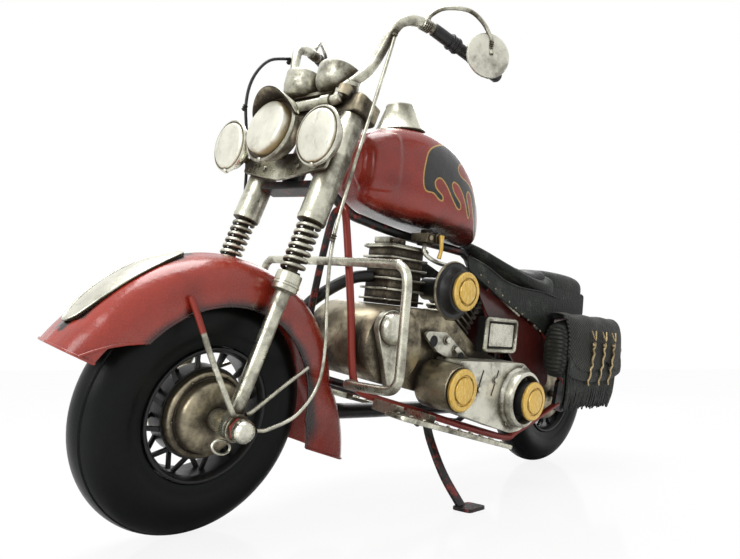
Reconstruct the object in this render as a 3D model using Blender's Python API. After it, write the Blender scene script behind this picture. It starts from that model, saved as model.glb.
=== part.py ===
"""A handmade tin cruiser motorcycle leaning on its side stand, as separate pieces."""
import math

import bmesh
import bpy
from mathutils import Matrix, Vector

# Driving dimensions, in millimetres, in the motorcycle's own upright frame:
# forward is -X, its left is -Y, up is +Z, and the tyres touch z = 0.
TYRE_R = 50.0
TYRE_HALF = 11.0
RIM_R = 27.7
FRONT_X = -131.0
REAR_X = 135.5
LEAN_DEG = 9.66
RAKE_DEG = 17.5
STEER_REST_DEG = 6.7
LEG_Y = 23.5
LEG_R = 3.1
TUBE_R = 6.3
FENDER_R = 66.0
FENDER_HALF = 17.5
REAR_FENDER_R = 63.0
TANK_HALF = 26.0
FRAME_TUBE_R = 1.9
AXLE_R = 2.0
GAP = 0.3
GUARD_HALF = 58.0
CENTRE_X = 2.99
CENTRE_Y = 22.37
MM = 0.001

for old in list(bpy.data.objects):
    bpy.data.objects.remove(old, do_unlink=True)
scene = bpy.context.scene
RAKE = math.radians(RAKE_DEG)

MATERIALS = {
    "tyre": ((0.02, 0.022, 0.02), 0.0, 0.55),
    "silver": ((0.62, 0.60, 0.56), 0.9, 0.35),
    "dark_metal": ((0.05, 0.05, 0.05), 0.6, 0.45),
    "red": ((0.33, 0.045, 0.03), 0.1, 0.35),
    "leather": ((0.06, 0.065, 0.06), 0.0, 0.6),
    "gold": ((0.75, 0.50, 0.13), 0.5, 0.4),
    "patina": ((0.40, 0.35, 0.28), 0.8, 0.45),
}


def material(name, slot):
    colour, metal, rough = MATERIALS[slot]
    mat = bpy.data.materials.new(name)
    mat.use_nodes = True
    node = mat.node_tree.nodes["Principled BSDF"]
    node.inputs["Base Color"].default_value = (*colour, 1.0)
    node.inputs["Metallic"].default_value = metal
    node.inputs["Roughness"].default_value = rough
    return mat


def empty(name, parent, location=(0, 0, 0), rotation=None):
    obj = bpy.data.objects.new(name, None)
    scene.collection.objects.link(obj)
    obj.parent = parent
    obj.location = [v * MM for v in location]
    if rotation is not None:
        obj.rotation_mode = "QUATERNION"
        obj.rotation_quaternion = rotation.to_quaternion()
    return obj


# The whole machine leans to its left about the tyres' contact line.
LEAN = math.radians(LEAN_DEG)
lean_point = Vector((0, 0, TYRE_HALF))
lean_rot = Matrix.Rotation(LEAN, 3, "X")
lean_at = lean_point - lean_rot @ lean_point + Vector((-CENTRE_X, CENTRE_Y, 0))
bike = empty("bike_frame", None, lean_at, lean_rot)
steer_rot = Matrix.Rotation(RAKE, 3, "Y") @ Matrix.Rotation(math.radians(STEER_REST_DEG), 3, "Z")
steer = empty("steer_axis", bike, (FRONT_X, 0, TYRE_R), steer_rot)
rear = empty("rear_axis", bike, (REAR_X, 0, TYRE_R))


class Solid:
    """A mesh under construction, in the millimetre frame of its parent."""

    def __init__(self):
        self.bm = bmesh.new()

    def ring_surface(self, rings, closed_along=False, caps=True):
        """Skins a list of equal point rings into a closed body."""
        rows = [[self.bm.verts.new(p) for p in ring] for ring in rings]
        count = len(rows[0])
        pairs = list(zip(rows, rows[1:]))
        if closed_along:
            pairs.append((rows[-1], rows[0]))
        for first, second in pairs:
            for i in range(count):
                j = (i + 1) % count
                self.bm.faces.new((first[i], first[j], second[j], second[i]))
        if caps and not closed_along:
            self.bm.faces.new(list(reversed(rows[0])))
            self.bm.faces.new(rows[-1])
        return self

    def lathe(self, profile, centre=(0, 0, 0), axis=(0, 1, 0), steps=32):
        """Turns a closed profile of (along, radius) pairs, all off the axis."""
        return self.ring_surface(turned(profile, centre, axis, steps), closed_along=True)

    def spindle(self, profile, centre=(0, 0, 0), axis=(0, 1, 0), steps=24):
        """Turns an open profile of (along, radius) pairs, with flat ends."""
        frame = axis_frame(axis)
        rings = []
        for along, radius in profile:
            ring = []
            for i in range(steps):
                a = 2 * math.pi * i / steps
                p = Vector((radius * math.cos(a), radius * math.sin(a), along))
                ring.append(Vector(centre) + frame @ p)
            rings.append(ring)
        return self.ring_surface(rings)

    def tube(self, points, radius, sides=10):
        """A round bar swept through the given points."""
        pts = [Vector(p) for p in points]
        radii = radius if isinstance(radius, (list, tuple)) else [radius] * len(pts)
        rings = []
        side = None
        for i, p in enumerate(pts):
            ahead = (pts[min(i + 1, len(pts) - 1)] - p)
            behind = (p - pts[max(i - 1, 0)])
            t = Vector((0, 0, 0))
            if ahead.length > 0:
                t += ahead.normalized()
            if behind.length > 0:
                t += behind.normalized()
            t.normalize()
            if side is None:
                side = t.orthogonal().normalized()
            side = (side - t * side.dot(t)).normalized()
            up = t.cross(side)
            ring = []
            for k in range(sides):
                a = 2 * math.pi * k / sides
                ring.append(p + radii[i] * (math.cos(a) * side + math.sin(a) * up))
            rings.append(ring)
        return self.ring_surface(rings)

    def box(self, low, high):
        x0, y0, z0 = low
        x1, y1, z1 = high
        bottom = [(x0, y0, z0), (x1, y0, z0), (x1, y1, z0), (x0, y1, z0)]
        top = [(x, y, z1) for x, y, _ in bottom]
        return self.ring_surface([[Vector(p) for p in bottom], [Vector(p) for p in top]])

    def prism(self, outline, y0, y1):
        """Extrudes an x-z outline from y0 to y1."""
        a = [Vector((x, y0, z)) for x, z in outline]
        b = [Vector((x, y1, z)) for x, z in outline]
        return self.ring_surface([a, b])

    def move(self, matrix):
        bmesh.ops.transform(self.bm, matrix=matrix, verts=self.bm.verts)
        return self

    def mesh(self, name):
        bmesh.ops.recalc_face_normals(self.bm, faces=self.bm.faces)
        bmesh.ops.scale(self.bm, vec=(MM, MM, MM), verts=self.bm.verts)
        data = bpy.data.meshes.new(name)
        self.bm.to_mesh(data)
        self.bm.free()
        return data


def axis_frame(axis):
    z = Vector(axis).normalized()
    x = Vector((1, 0, 0)) if abs(z.x) < 0.9 else Vector((0, 0, 1))
    x = (x - z * x.dot(z)).normalized()
    return Matrix((x, z.cross(x), z)).transposed()


def turned(profile, centre, axis, steps):
    frame = axis_frame(axis)
    rings = []
    for i in range(steps):
        a = 2 * math.pi * i / steps
        ring = []
        for along, radius in profile:
            p = Vector((radius * math.cos(a), radius * math.sin(a), along))
            ring.append(Vector(centre) + frame @ p)
        rings.append(ring)
    return rings


def node(name, slot, solid, parent=None, join=(), cut=(), smooth=True):
    """Makes one named piece, joining and cutting other solids by exact Booleans."""
    obj = bpy.data.objects.new(name, solid.mesh(name))
    scene.collection.objects.link(obj)
    obj.parent = parent or bike
    obj.data.materials.append(material(name + "_mat", slot))
    for operation, group in (("UNION", join), ("DIFFERENCE", cut)):
        for index, other in enumerate(group):
            helper = bpy.data.objects.new(name + operation.lower() + str(index), other.mesh("h"))
            scene.collection.objects.link(helper)
            helper.parent = parent or bike
            helper.hide_render = True
            helper.display_type = "WIRE"
            mod = obj.modifiers.new(operation.lower() + str(index), "BOOLEAN")
            mod.operation = operation
            mod.solver = "EXACT"
            mod.object = helper
    if smooth:
        obj.data.polygons.foreach_set("use_smooth", [True] * len(obj.data.polygons))
        obj.data.update()
    return obj


def arc(centre, radius, start, end, count):
    out = []
    for i in range(count):
        a = math.radians(start + (end - start) * i / (count - 1))
        out.append((centre[0] + radius * math.cos(a), centre[1] + radius * math.sin(a)))
    return out


# ---- wheels -------------------------------------------------------------------
def tyre(name, parent):
    half = TYRE_HALF
    outer = TYRE_R - half
    profile = [(half * math.cos(a), outer + half * math.sin(a))
               for a in (math.pi * i / 6 for i in range(7))]
    profile += [(-9.4, 32.0), (-8.6, RIM_R + GAP), (8.6, RIM_R + GAP), (9.4, 32.0)]
    return node(name, "tyre", Solid().lathe(profile, steps=32), parent)


def spoke_wheel(name, parent):
    ring = Solid().lathe([(-9.3, RIM_R), (-9.3, 25.8), (9.3, 25.8), (9.3, RIM_R)], steps=28)
    hub = Solid().lathe([(-5.0, 19.6), (-5.0, 18.3), (5.0, 18.3), (5.0, 19.6)], steps=24)
    spokes = []
    for k in range(9):
        a = 2 * math.pi * k / 9
        for lean in (-0.13, 0.13):
            p = Vector((18.9 * math.cos(a), 0, 18.9 * math.sin(a)))
            q = Vector((26.5 * math.cos(a + lean), 0, 26.5 * math.sin(a + lean)))
            spokes.append(Solid().tube([p, q], 1.0, 4))
    return node(name, "dark_metal", ring, parent, join=[hub] + spokes)


def hub(name, parent, side):
    profile = [(-8.5, AXLE_R + GAP), (-8.5, 18.0), (8.5, 18.0), (8.5, 13.5), (13.0, 12.5),
               (14.0, AXLE_R + GAP)]
    return node(name, "patina", Solid().lathe([(side * x, r) for x, r in profile], steps=28), parent)


tyre("front_tyre", steer)
spoke_wheel("front_rim", steer)
hub("front_hub", steer, -1)
tyre("rear_tyre", rear)
spoke_wheel("rear_rim", rear)
hub("rear_hub", rear, 1)
cap = [(-36.8, 1.2), (-36.1, 3.0), (-34.3, 4.3), (-32.3, 4.6), (-30.3, 4.0), (-29.1, 2.6)]
cap += [(-29.0, AXLE_R)]
cap_right = [(-x, r) for x, r in reversed(cap)]
node("front_axle", "silver", Solid().spindle(cap + cap_right, steps=14), steer)
node("rear_axle", "silver", Solid().spindle([(-25.6, 1.4), (-25.0, 3.4), (-22.8, 3.4), (-22.7, 2.0),
     (22.7, 2.0), (22.8, 3.4), (25.0, 3.4), (25.6, 1.4)], steps=14), rear)

# ---- front fork, in the frame of the steering axis ------------------------------
for tag, s in (("l", -1), ("r", 1)):
    y = s * LEG_Y
    low = Solid().spindle([(1.0, LEG_R), (56.6, LEG_R), (56.8, 5.4), (64.0, 5.4), (64.2, LEG_R),
                           (100.0, LEG_R)], (0, y, 0), (0, 0, 1), 14)
    eye = Solid().lathe([(-3.1, AXLE_R + GAP), (-3.1, 5.2), (3.1, 5.2), (3.1, AXLE_R + GAP)],
                        (0, y, 0), (0, 1, 0), 16)
    bore = Solid().spindle([(-6, AXLE_R + GAP), (6, AXLE_R + GAP)], (0, y, 0), (0, 1, 0), 16)
    node("fork_slider_" + tag, "silver", low, steer, join=[eye], cut=[bore])
    node("fork_tube_" + tag, "patina", Solid().lathe([(88.0, LEG_R + GAP), (88.0, TUBE_R),
         (139.8, TUBE_R), (139.8, LEG_R + GAP)], (0, y, 0), (0, 0, 1), 20), steer)
    turns = 6.5
    coil = [(4.35 * math.cos(2 * math.pi * i / 10), y + 4.35 * math.sin(2 * math.pi * i / 10),
             65.2 + 21.6 * i / (10 * turns)) for i in range(int(10 * turns) + 1)]
    node("fork_spring_" + tag, "silver", Solid().tube(coil, 0.85, 4), steer)

node("lower_yoke", "dark_metal", Solid().box((-3.2, -16.9, 103.0), (5.0, 16.9, 107.0)), steer,
     join=[Solid().spindle([(103.5, 2.9), (146.0, 2.9)], (0, 0, 0), (0, 0, 1), 16)])
yoke_bore = Solid().spindle([(120, 3.2), (147, 3.2)], (0, 0, 0), (0, 0, 1), 20)
node("upper_yoke", "patina", Solid().box((-5.6, -31.0, 140.2), (9.0, 31.0, 149.5)), steer,
     cut=[yoke_bore])
bar = [(-2.5, -36.0, 188.5), (-4.3, -33.2, 181.6), (-3.6, -28.0, 165.0), (-6.0, -24.4, 156.5),
       (-8.5, -22.0, 150.6), (-8.9, -20.0, 146.0), (-8.9, -17.3, 144.0)]
left_bar = [(32.0, -44.041, 199.043), (12.4, -39.7, 196.06), (4.5, -37.9, 193.6)] + bar
right_bar = [(x, -y, z) for x, y, z in reversed(left_bar)]
node("handlebar", "silver", Solid().tube(left_bar + right_bar, 2.4, 10), steer)
for tag, s in (("l", 1), ("r", -1)):
    start = Vector((12.4, -39.7 * s, 196.06))
    end = Vector((58.0, -49.8 * s, 203.0))
    reach = (end - start).length
    g = [(0, 2.4 + GAP), (0, 3.4), (reach - 1, 3.4), (reach, 2.6), (reach, 0.4),
         (20.8, 0.4), (20.8, 2.4 + GAP)]
    node("grip_" + tag, "dark_metal", Solid().lathe(g, start, end - start, 14), steer)
    wire = [(8.0, -38.9, 198.3), (12, -43, 207), (20, -50, 211), (32, -57, 207), (43, -61.6, 197)]
    disc = Solid().spindle([(-0.7, 10.6), (-0.5, 11.0), (0.5, 11.0), (0.7, 10.6)],
                           (35.5, -57.0 * s, 196.5), (0.55, 0.8 * s, 0.1), 26)
    stalk = Solid().tube([(x, y * s, z) for x, y, z in wire[:4]] +
                         [(34.5, -57.3 * s, 199.0)], 1.0, 8)
    node("mirror_" + tag, "silver", disc, steer, join=[stalk])

# lamps: sheet bar, headlamp with a hood, two spot lamps, two gauge cups
bar_plate = Solid().ring_surface([[Vector(p) for p in ring] for ring in (
    [(-8.3, -29, 106.5), (-8.3, 0, 101.0), (-8.3, 29, 106.5), (-8.3, 29, 118.0), (-8.3, -29, 118.0)],
    [(-6.7, -29, 106.5), (-6.7, 0, 101.0), (-6.7, 29, 106.5), (-6.7, 29, 118.0),
     (-6.7, -29, 118.0)])])
node("lamp_bar", "patina", bar_plate, steer, smooth=False)


def lamp(name, centre, direction, radius, depth, back, hood=False):
    d = Vector(direction).normalized()
    profile = [(-depth, 1.2), (-depth + 1.0, 4.0), (-depth * 0.6, radius * 0.72),
               (-depth * 0.25, radius * 0.96), (0, radius * 1.06), (1.2, radius * 1.06),
               (1.8, radius * 0.97), (1.0, radius * 0.93), (1.9, radius * 0.6), (2.4, 1.0)]
    body = Solid().spindle(profile, centre, d, 26)
    tail = Vector(centre) - d * (depth - 3)
    stud = Solid().tube([tail, Vector(back)], 1.7, 8)
    extra = [stud]
    if hood:
        f = axis_frame(d)
        rings = []
        for k in range(13):
            a = math.radians(20 + 140 * k / 12)
            reach = 7.0 * math.sin(math.radians(180 * k / 12))
            r0, r1 = radius * 1.0, radius * 1.09
            up = Vector((0, 0, 1))
            u = (up - d * up.dot(d)).normalized()
            side = d.cross(u)
            ray = math.cos(a) * side + math.sin(a) * u
            c = Vector(centre)
            rings.append([c + r0 * ray - d * 1.5, c + r1 * ray - d * 1.5,
                          c + (r1 + 0.3) * ray + d * (1.0 + reach), c + r0 * ray + d * (1.0 + reach)])
        extra.append(Solid().ring_surface(rings))
    return node(name, "silver", body, steer, join=extra)


CABLES = {
    "l": [(-5.4, -36.6, 181), (-1.6, -34.6, 160), (2.4, -33.6, 118), (6.4, -33.2, 86), (13, -33.4, 65),
          (23, -34.0, 42), (26.6, -34.4, 26), (21, -34.6, 12), (9.4, -34.8, 3.6)],
    "r": [(-5.4, 36.6, 181), (-16, 36.8, 171), (-20, 36.6, 157), (-17.5, 36.6, 143), (-9, 36.2, 127),
          (-1, 35.2, 108), (6, 33.4, 84), (9.5, 33.5, 40), (7, 34.4, 18), (5.4, 34.6, 6)],
}
cups = []
lamp("headlamp", (-21.0, 0, 122.0), (-0.995, 0, -0.10), 14.2, 12.0, (-10.4, 0, 114.0), True)
for tag, s in (("l", -1), ("r", 1)):
    lamp("spot_lamp_" + tag, (-18.8, s * 31.0, 117.6), (-0.963, 0, -0.27), 11.7, 8.6,
         (-10.4, s * 26.5, 114.5))
    cups.append(Solid().spindle([(151.0, 2.2), (151.8, 6.6), (154, 9.2), (158, 10.4), (161.3, 10.4),
         (161.3, 9.6), (160.3, 9.2), (160.3, 0.8)], (2.0, s * 11.6, 0), (-0.05, 0, 1), 20))
    node("cable_" + tag, "silver", Solid().tube(CABLES[tag], 0.75, 8), steer)

node("gauge_pair", "silver", Solid().box((-8.0, -13.5, 149.5 + GAP), (-3.0, 13.5, 151.6)), steer,
     join=cups)

# ---- front fender and its stays --------------------------------------------------
def fender(name, slot, radius, half, start, end, flare, parent, skirt, steps=26):
    """A valanced mudguard around the origin of parent; angles from straight up, forward > 0."""
    rings = []
    for i in range(steps):
        t = i / (steps - 1)
        ang = start + (end - start) * t
        a = math.radians(90 + ang)
        r = radius + flare(ang)
        low = skirt(ang)
        section = [(half, low), (half, r - 10), (half - 1.6, r - 5.5), (half - 6, r - 1.6), (0, r)]
        outer = section + [(-y, q) for y, q in reversed(section[:-1])]
        inner = [(y * (half - 1.0) / half, q - (1.0 if q > low + 0.1 else 0)) for y, q in section]
        inner = inner + [(-y, q) for y, q in reversed(inner[:-1])]
        ring = []
        for y, q in outer + list(reversed(inner)):
            ring.append(Vector((q * math.cos(a), y, q * math.sin(a))))
        rings.append(ring)
    return node(name, slot, Solid().ring_surface(rings), parent)


def front_flare(ang):
    if ang > 55:
        return (ang - 55) * 0.16
    if ang < -80:
        return (-80 - ang) * 0.62
    return 0


def front_skirt(ang):
    if ang > 48:
        return 45.5 + (ang - 48) * 0.95
    if ang < -95:
        return 45.5 + (-95 - ang) * 0.35
    return 45.5


fender_frame = empty("fender_frame", steer, (0, 0, 0), Matrix.Rotation(-RAKE, 3, "Y"))
fender("front_fender", "red", FENDER_R - 1.0, FENDER_HALF, 67, -117, front_flare, fender_frame,
       front_skirt, 22)
rings = []
for i in range(13):
    t = i / 12
    a = math.radians(90 + 61 - 50 * t)
    w = 8.8 * math.sqrt(max(0.06, 1 - (2 * t - 1) ** 2))
    r = FENDER_R - 1.0 + (1.0 - t) * 0.8 + 0.1
    ring = []
    for y, q in ((-w, r - 1.1 * (w / 8.8) ** 2 + 0.5), (0, r + 0.5), (w, r - 1.1 * (w / 8.8) ** 2 + 0.5),
                 (w, r - 1.1 * (w / 8.8) ** 2 + 1.4), (0, r + 1.6), (-w, r - 1.1 * (w / 8.8) ** 2 + 1.4)):
        ring.append(Vector((q * math.cos(a), y, q * math.sin(a))))
    rings.append(ring)
node("fender_badge", "silver", Solid().ring_surface(rings), fender_frame)
for tag, s in (("l", -1), ("r", 1)):
    y = s * (FENDER_HALF + 1.1 + GAP)
    stay = Solid().tube([(-21.6, y, 48.0), (-20.0, y + s * 0.5, 45.0), (-3.4, s * 27.7, 5.6),
                         (0.0, s * 27.9, 4.4), (5.0, s * 27.7, 5.4), (40.5, y, 20.5)], 0.9, 6)
    eye = Solid().lathe([(26.95, AXLE_R + GAP), (26.95, 5.6), (28.65, 5.6), (28.65, AXLE_R + GAP)],
                        (0, 0, 0), (0, s, 0), 16)
    node("fender_stay_" + tag, "silver", stay, fender_frame, join=[eye])

# ---- frame -------------------------------------------------------------------------
def steer_point(along):
    return (FRONT_X + along * math.sin(RAKE), 0, TYRE_R + along * math.cos(RAKE))


axis_dir = (math.sin(RAKE), 0, math.cos(RAKE))
head = Solid().spindle([(107.6, 5.0), (139.4, 5.0)], (FRONT_X, 0, TYRE_R), axis_dir, 20)
head_bore = Solid().spindle([(90, 3.2), (160, 3.2)], (FRONT_X, 0, TYRE_R), axis_dir, 20)
r = FRAME_TUBE_R
p = steer_point(121)
backbone = Solid().tube([(p[0] + 3.5, 0, p[2] - 1), (-66, 0, 147), (-50, 0, 143.2), (-20, 0, 140.4),
                         (25, 0, 138.7), (32, 0, 137.2),
                         (62, 0, 122), (76, 0, 108), (78, 0, 60)], 2.6, 10)
tubes = []
for s in (-1, 1):
    tubes.append(Solid().tube([(-68, s * 1, 147.4), (-69, s * 6.0, 140), (-68, s * 15, 101),
                               (-66.5, s * 20, 70), (-63, s * 20.6, 62), (-54, s * 21, 57),
                               (58, s * 21, 28.5), (78, s * 21, 31), (124, s * 21, 46)], r, 8))
    tubes.append(Solid().tube([(66, s * 2, 119), (80, s * 17, 112), (92, s * 21, 100),
                               (127, s * 21, 60)], r, 8))
tubes.append(Solid().tube([(56, -21, 29), (56, 21, 29)], r, 8))
tubes.append(Solid().tube([(-60, -20.8, 60.4), (-60, 20.8, 60.4)], r, 8))
tubes.append(Solid().tube([(78, 0, 63), (78, -21, 31.5)], r, 8))
tubes.append(Solid().tube([(78, 0, 63), (78, 21, 31.5)], r, 8))
for s in (-1, 1):
    tubes.append(Solid().prism([(118, 42), (128, 40), (143, 43), (146, 50), (143, 57), (128, 64),
                                (121, 62)], s * 19.6, s * 22.4))
axle_bore = Solid().spindle([(-30, 2.3), (30, 2.3)], (REAR_X, 0, TYRE_R), (0, 1, 0), 18)
STAND_AXIS = (0.155, -0.765, 0.626)
lug = Solid().spindle([(-6.0, 3.0), (-2.7, 3.0)], (-21, -27.2, 47.2), STAND_AXIS, 14)
tubes.append(lug)
tubes.append(Solid().tube([(-21.4, -21, 48.4), (-21.9, -23.0, 43.9)], 1.6, 8))
node("frame", "dark_metal", head, join=[backbone] + tubes, cut=[head_bore, axle_bore])

g = GUARD_HALF
loop = [(-66.4, -21.5, 63.7), (-70.4, -22.7, 63.8), (-73.6, -27, 64.3), (-74, -(g - 7), 66), (-74, -(g - 2), 68.2), (-74, -g, 74),
        (-74, -(g - 1), 110), (-74, -(g - 3), 116.5), (-74, -(g - 9), 119.5)]
loop = loop + [(x, -y, z) for x, y, z in reversed(loop)]
node("engine_guard", "silver", Solid().tube(loop, 2.0, 10))

# ---- engine --------------------------------------------------------------------------
drum = Solid().spindle([(-25, 18.3), (-23.8, 19.5), (23.8, 19.5), (25, 18.3)], (-44.5, 0, 82),
                       (0, 1, 0), 32)
case = Solid().prism([(-40, 62.4), (50, 43), (60, 50), (56, 74), (27.5, 82.8),
                       (6.0, 96.8), (-2, 97), (-9, 101.6), (-40, 101.6)], -19.0, 19.0)
node("crankcase", "patina", drum, join=[case])
tear = [(-46.8, 60.5), (-44.8, 62.5), (-44.0, 88)] + arc((-52, 90.5), 9.2, -8, 188, 12)
tear += [(-55.5, 75), (-51.0, 62)]
dome = Solid().spindle([(-28.6, 7.8), (-30.0, 7.8), (-32.6, 6.6), (-34.4, 4.2), (-35.2, 1.4)],
                       (-52, 0, 91), (0, 1, 0), 20)
node("timing_cover", "silver", Solid().prism(tear, -25 - GAP, -29), join=[dome])


def cylinder(name, base, tilt, size, height, fins, extra=()):
    sx, sy = size
    solids = []
    core = Solid().box((-sx + 2.4, -sy + 2.4, 0), (sx - 2.4, sy - 2.4, height))
    for i in range(fins):
        z = 2.2 + (height - 5.2) * i / (fins - 1)
        grow = 1.0 if i < fins - 1 else 0.9
        solids.append(Solid().box((-sx * grow, -sy * grow, z), (sx * grow, sy * grow, z + 1.7)))
    m = Matrix.Translation(Vector(base)) @ Matrix.Rotation(math.radians(tilt), 4, "Y")
    core.move(m)
    for other in solids:
        other.move(m)
    return node(name, "patina", core, join=solids + list(extra), smooth=False)


cylinder("cylinder_front", (-25.5, 0, 101.6 + GAP), 0, (13.2, 11.4), 32.2, 5,
         extra=[Solid().box((-37, -6, 132), (-25, 6, 137.6))])
cylinder("cylinder_rear", (16.95, 0, 90.2), 33, (11.5, 11.4), 35.0, 5)
node("air_cleaner", "dark_metal", Solid().spindle([(-32.4, 10.4), (-31.8, 11.4), (-26.4, 12.0),
     (-25.6, 15.2), (-24.2, 15.2), (-24.0, 6.3), (-5.0, 6.3)], (-5.6, 0, 113), (0, 1, 0), 24))
node("air_cleaner_disc", "gold", Solid().spindle([(-32.4 - GAP, 10.3), (-34.0, 10.3), (-34.8, 9.4),
     (-34.2, 7.0), (-35.2, 6.0), (-35.2, 1.0)], (-5.6, 0, 113), (0, 1, 0), 26))
cover = [(-18, 52.5), (44, 35.6), (56, 36.5), (64, 44), (66, 58), (62, 70), (52, 76), (-8, 77), (-18, 72)]
boss = Solid().lathe([(-36.5, 9.0), (-43.5, 9.0), (-43.5, 14.6), (-42.0, 16.2), (-36.0, 16.4),
                      (-35.0, 9.0)], (48, 0, 56), (0, 1, 0), 26)
drum1 = Solid().spindle([(-34, 11.4), (-39.6, 10.9)], (-9.4, 0, 62.6), (0, 1, 0), 24)
hub2 = Solid().spindle([(-34, 10.4), (-46.0, 10.0)], (48, 0, 56), (0, 1, 0), 22)
plate = [(-24.3, 88), (-22, 90.5), (-8, 90.5), (2, 84), (15, 75.4), (-2, 75.4), (-14, 80)]
node("primary_cover", "silver", Solid().prism(cover, -19 - GAP, -36.5),
     join=[boss, drum1, hub2, Solid().prism(plate, -19 - GAP, -25.5)])
for tag, x, y0, z in (("front", -9.4, -39.6, 62.6), ("rear", 48.0, -46.0, 56.0)):
    node("primary_disc_" + tag, "gold", Solid().spindle([(y0 - GAP, 11.0), (y0 - 1.8, 11.0),
         (y0 - 2.6, 10.0), (y0 - 2.0, 7.6), (y0 - 3.0, 6.6), (y0 - 3.0, 1.0)], (x, 0, z),
         (0, 1, 0), 26))
box_frame = Solid().box((26, -25.5, 77 + 3.4), (58, -19.6, 101))
box_hole = Solid().box((28.6, -27, 83), (55.4, -23.5, 98.6))
node("battery_box", "silver", box_frame, cut=[box_hole], smooth=False,
     join=[Solid().box((37, -23, 76.2 + GAP), (45, -20, 84)).move(Matrix.Identity(4))])
silencer = Solid().tube([(-45, 28.4, 42), (-34, 28, 38), (96, 28, 35), (102, 28, 35)],
                        [3.4, 4.4, 4.4, 3.4], 12)
node("exhaust", "dark_metal", Solid().tube([(-44, 28.4, 40), (-58, 28.6, 44), (-65, 29, 56),
     (-69, 27.5, 84), (-66, 22, 97), (-58, 13, 107.5), (-49, 7, 116), (-40.2, 3, 116)], 3.2, 8), join=[silencer])
node("fuel_tap", "silver", Solid().box((-22, -17, 137), (-10, -5, 142.3)),
     join=[Solid().spindle([(-18.2, 3.0), (-12, 3.2)], (-13.3, 0, 140), (0, 1, 0), 12),
           Solid().spindle([(141, 2.6), (144.6, 2.6)], (-16, -8, 0), (0, 0, 1), 12)])
node("tap_lever", "gold", Solid().prism([(-15.4, 142), (-11.2, 142), (-12.2, 128.8), (-14.6, 128.8)],
     -18.2 - GAP, -19.8), smooth=False)
node("fuel_pipe", "silver", Solid().tube([(-19, -13, 136.6), (-19, -14, 131), (-10, -18, 126.8),
     (14, -19.5, 126.5), (30, -20.0, 123), (46, -21, 112.5), (63, -22.4, 103.6 + 0.4)], 1.1, 8))

# ---- tank, console, cap ---------------------------------------------------------------
stations = [(-63.5, 182, 158, 9, 6), (-61, 186, 152, 15, 8), (-50, 192, 148.6, 20.5, 10),
            (-32, 197, 146, 25, 12), (-12, 197, 145, TANK_HALF, 13), (4, 191, 143.4, 24.5, 12),
            (16, 180, 142.4, 20, 10), (25, 166, 141.6, 14, 8), (30, 154, 141.6, 7, 5)]
rings = []
for x, top, low, half, shoulder in stations:
    mid = low + (top - low) * 0.42
    ring = []
    for k in range(20):
        a = 2 * math.pi * k / 20
        c, sn = math.cos(a), math.sin(a)
        e = 0.62
        yy = half * math.copysign(abs(c) ** e, c)
        zz = math.copysign(abs(sn) ** 0.8, sn)
        zz = mid + zz * (top - mid) if zz > 0 else mid + zz * (mid - low)
        ring.append(Vector((x, yy, zz)))
    rings.append(ring)
node("tank", "red", Solid().ring_surface(rings))
node("console", "silver", Solid().spindle([(0.0, 15.0), (1.0, 15.0), (13.0, 7.2), (14.0, 6.4)],
     (-34.0, 0, 197.4), (-0.20, 0, 1), 24))
node("filler_cap", "red", Solid().spindle([(0, 4.8), (3.2, 4.8), (4.0, 3.6)], (-8.5, 0, 196.9),
     (0.10, 0, 1), 16))

# ---- rear fender, seat, bags ----------------------------------------------------------
fender("rear_fender", "red", REAR_FENDER_R, 16.0, 62, -84, lambda ang: 0, rear,
       lambda ang: 51.5, 18)


def loft(sections, count=16, e=0.6):
    out = []
    for x, y0, z0, half, high in sections:
        ring = []
        for k in range(count):
            a = 2 * math.pi * k / count
            c, sn = math.cos(a), math.sin(a)
            ring.append(Vector((x, y0 + half * math.copysign(abs(c) ** e, c),
                                z0 + high * math.copysign(abs(sn) ** e, sn))))
        out.append(ring)
    return Solid().ring_surface(out)


node("seat", "leather", loft([(33, 0, 142.0, 6, 2.2), (42, 0, 138.6, 10, 3.2), (58, 0, 132, 17, 4.0),
     (76, 0, 125.6, 22.5, 5.5), (92, 0, 122.8, 24, 6.5), (102, 0, 124.5, 22, 8.0),
     (105.5, 0, 126, 17, 7.0)]))
node("pillion_pad", "leather", loft([(106.2, 0, 125, 13, 8.5), (110, 0, 125.5, 16, 11.5),
     (132, 0, 125.6, 17, 11.7), (150, 0, 125, 16.5, 11.0), (155, 0, 124, 13, 8.0)]))
for tag, s in (("l", -1), ("r", 1)):
    y = s * 33.8
    node("saddlebag_" + tag, "leather", loft([(90, y, 86, 6, 15), (93, y, 87, 9.5, 18.8),
         (112, y, 88.3, 10.5, 20.8), (140, y, 88.3, 10.5, 20.8), (160, y, 87, 9.5, 18.8),
         (163, y, 86, 6, 15)]),
         join=[Solid().box((94, s * 34 - 3.6, 46), (159, s * 34 + 3.6, 72))])
    stalk = Solid().tube([(178, s * 16.5, 84), (182, s * 22, 85), (187.5, s * 27.5, 86)], 1.3, 8)
    ball = Solid().spindle([(-3.7, 1.0), (-2.8, 2.7), (0, 3.9), (2.8, 2.7), (3.7, 1.0)],
                           (190, s * 29.5, 86), (0.6, s * 0.6, 0.1), 16)
    slope = Matrix.Translation(Vector((-18, 0, 42.4))) @ Matrix.Rotation(math.radians(13.6), 4, "Y")
    board = Solid().box((-45, min(s * 37.6, s * 52), 0), (45, max(s * 37.6, s * 52), 2.2))
    lugs = [Solid().box((u, min(s * 23.2, s * 39), 0.4), (u + 5, max(s * 23.2, s * 39), 7.0))
            for u in (-38, -14)]
    node("footboard_" + tag, "silver", board.move(slope), smooth=False,
         join=[lug.move(slope) for lug in lugs])
    if s < 0:
        node("rear_signal", "silver", ball, join=[stalk])
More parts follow.
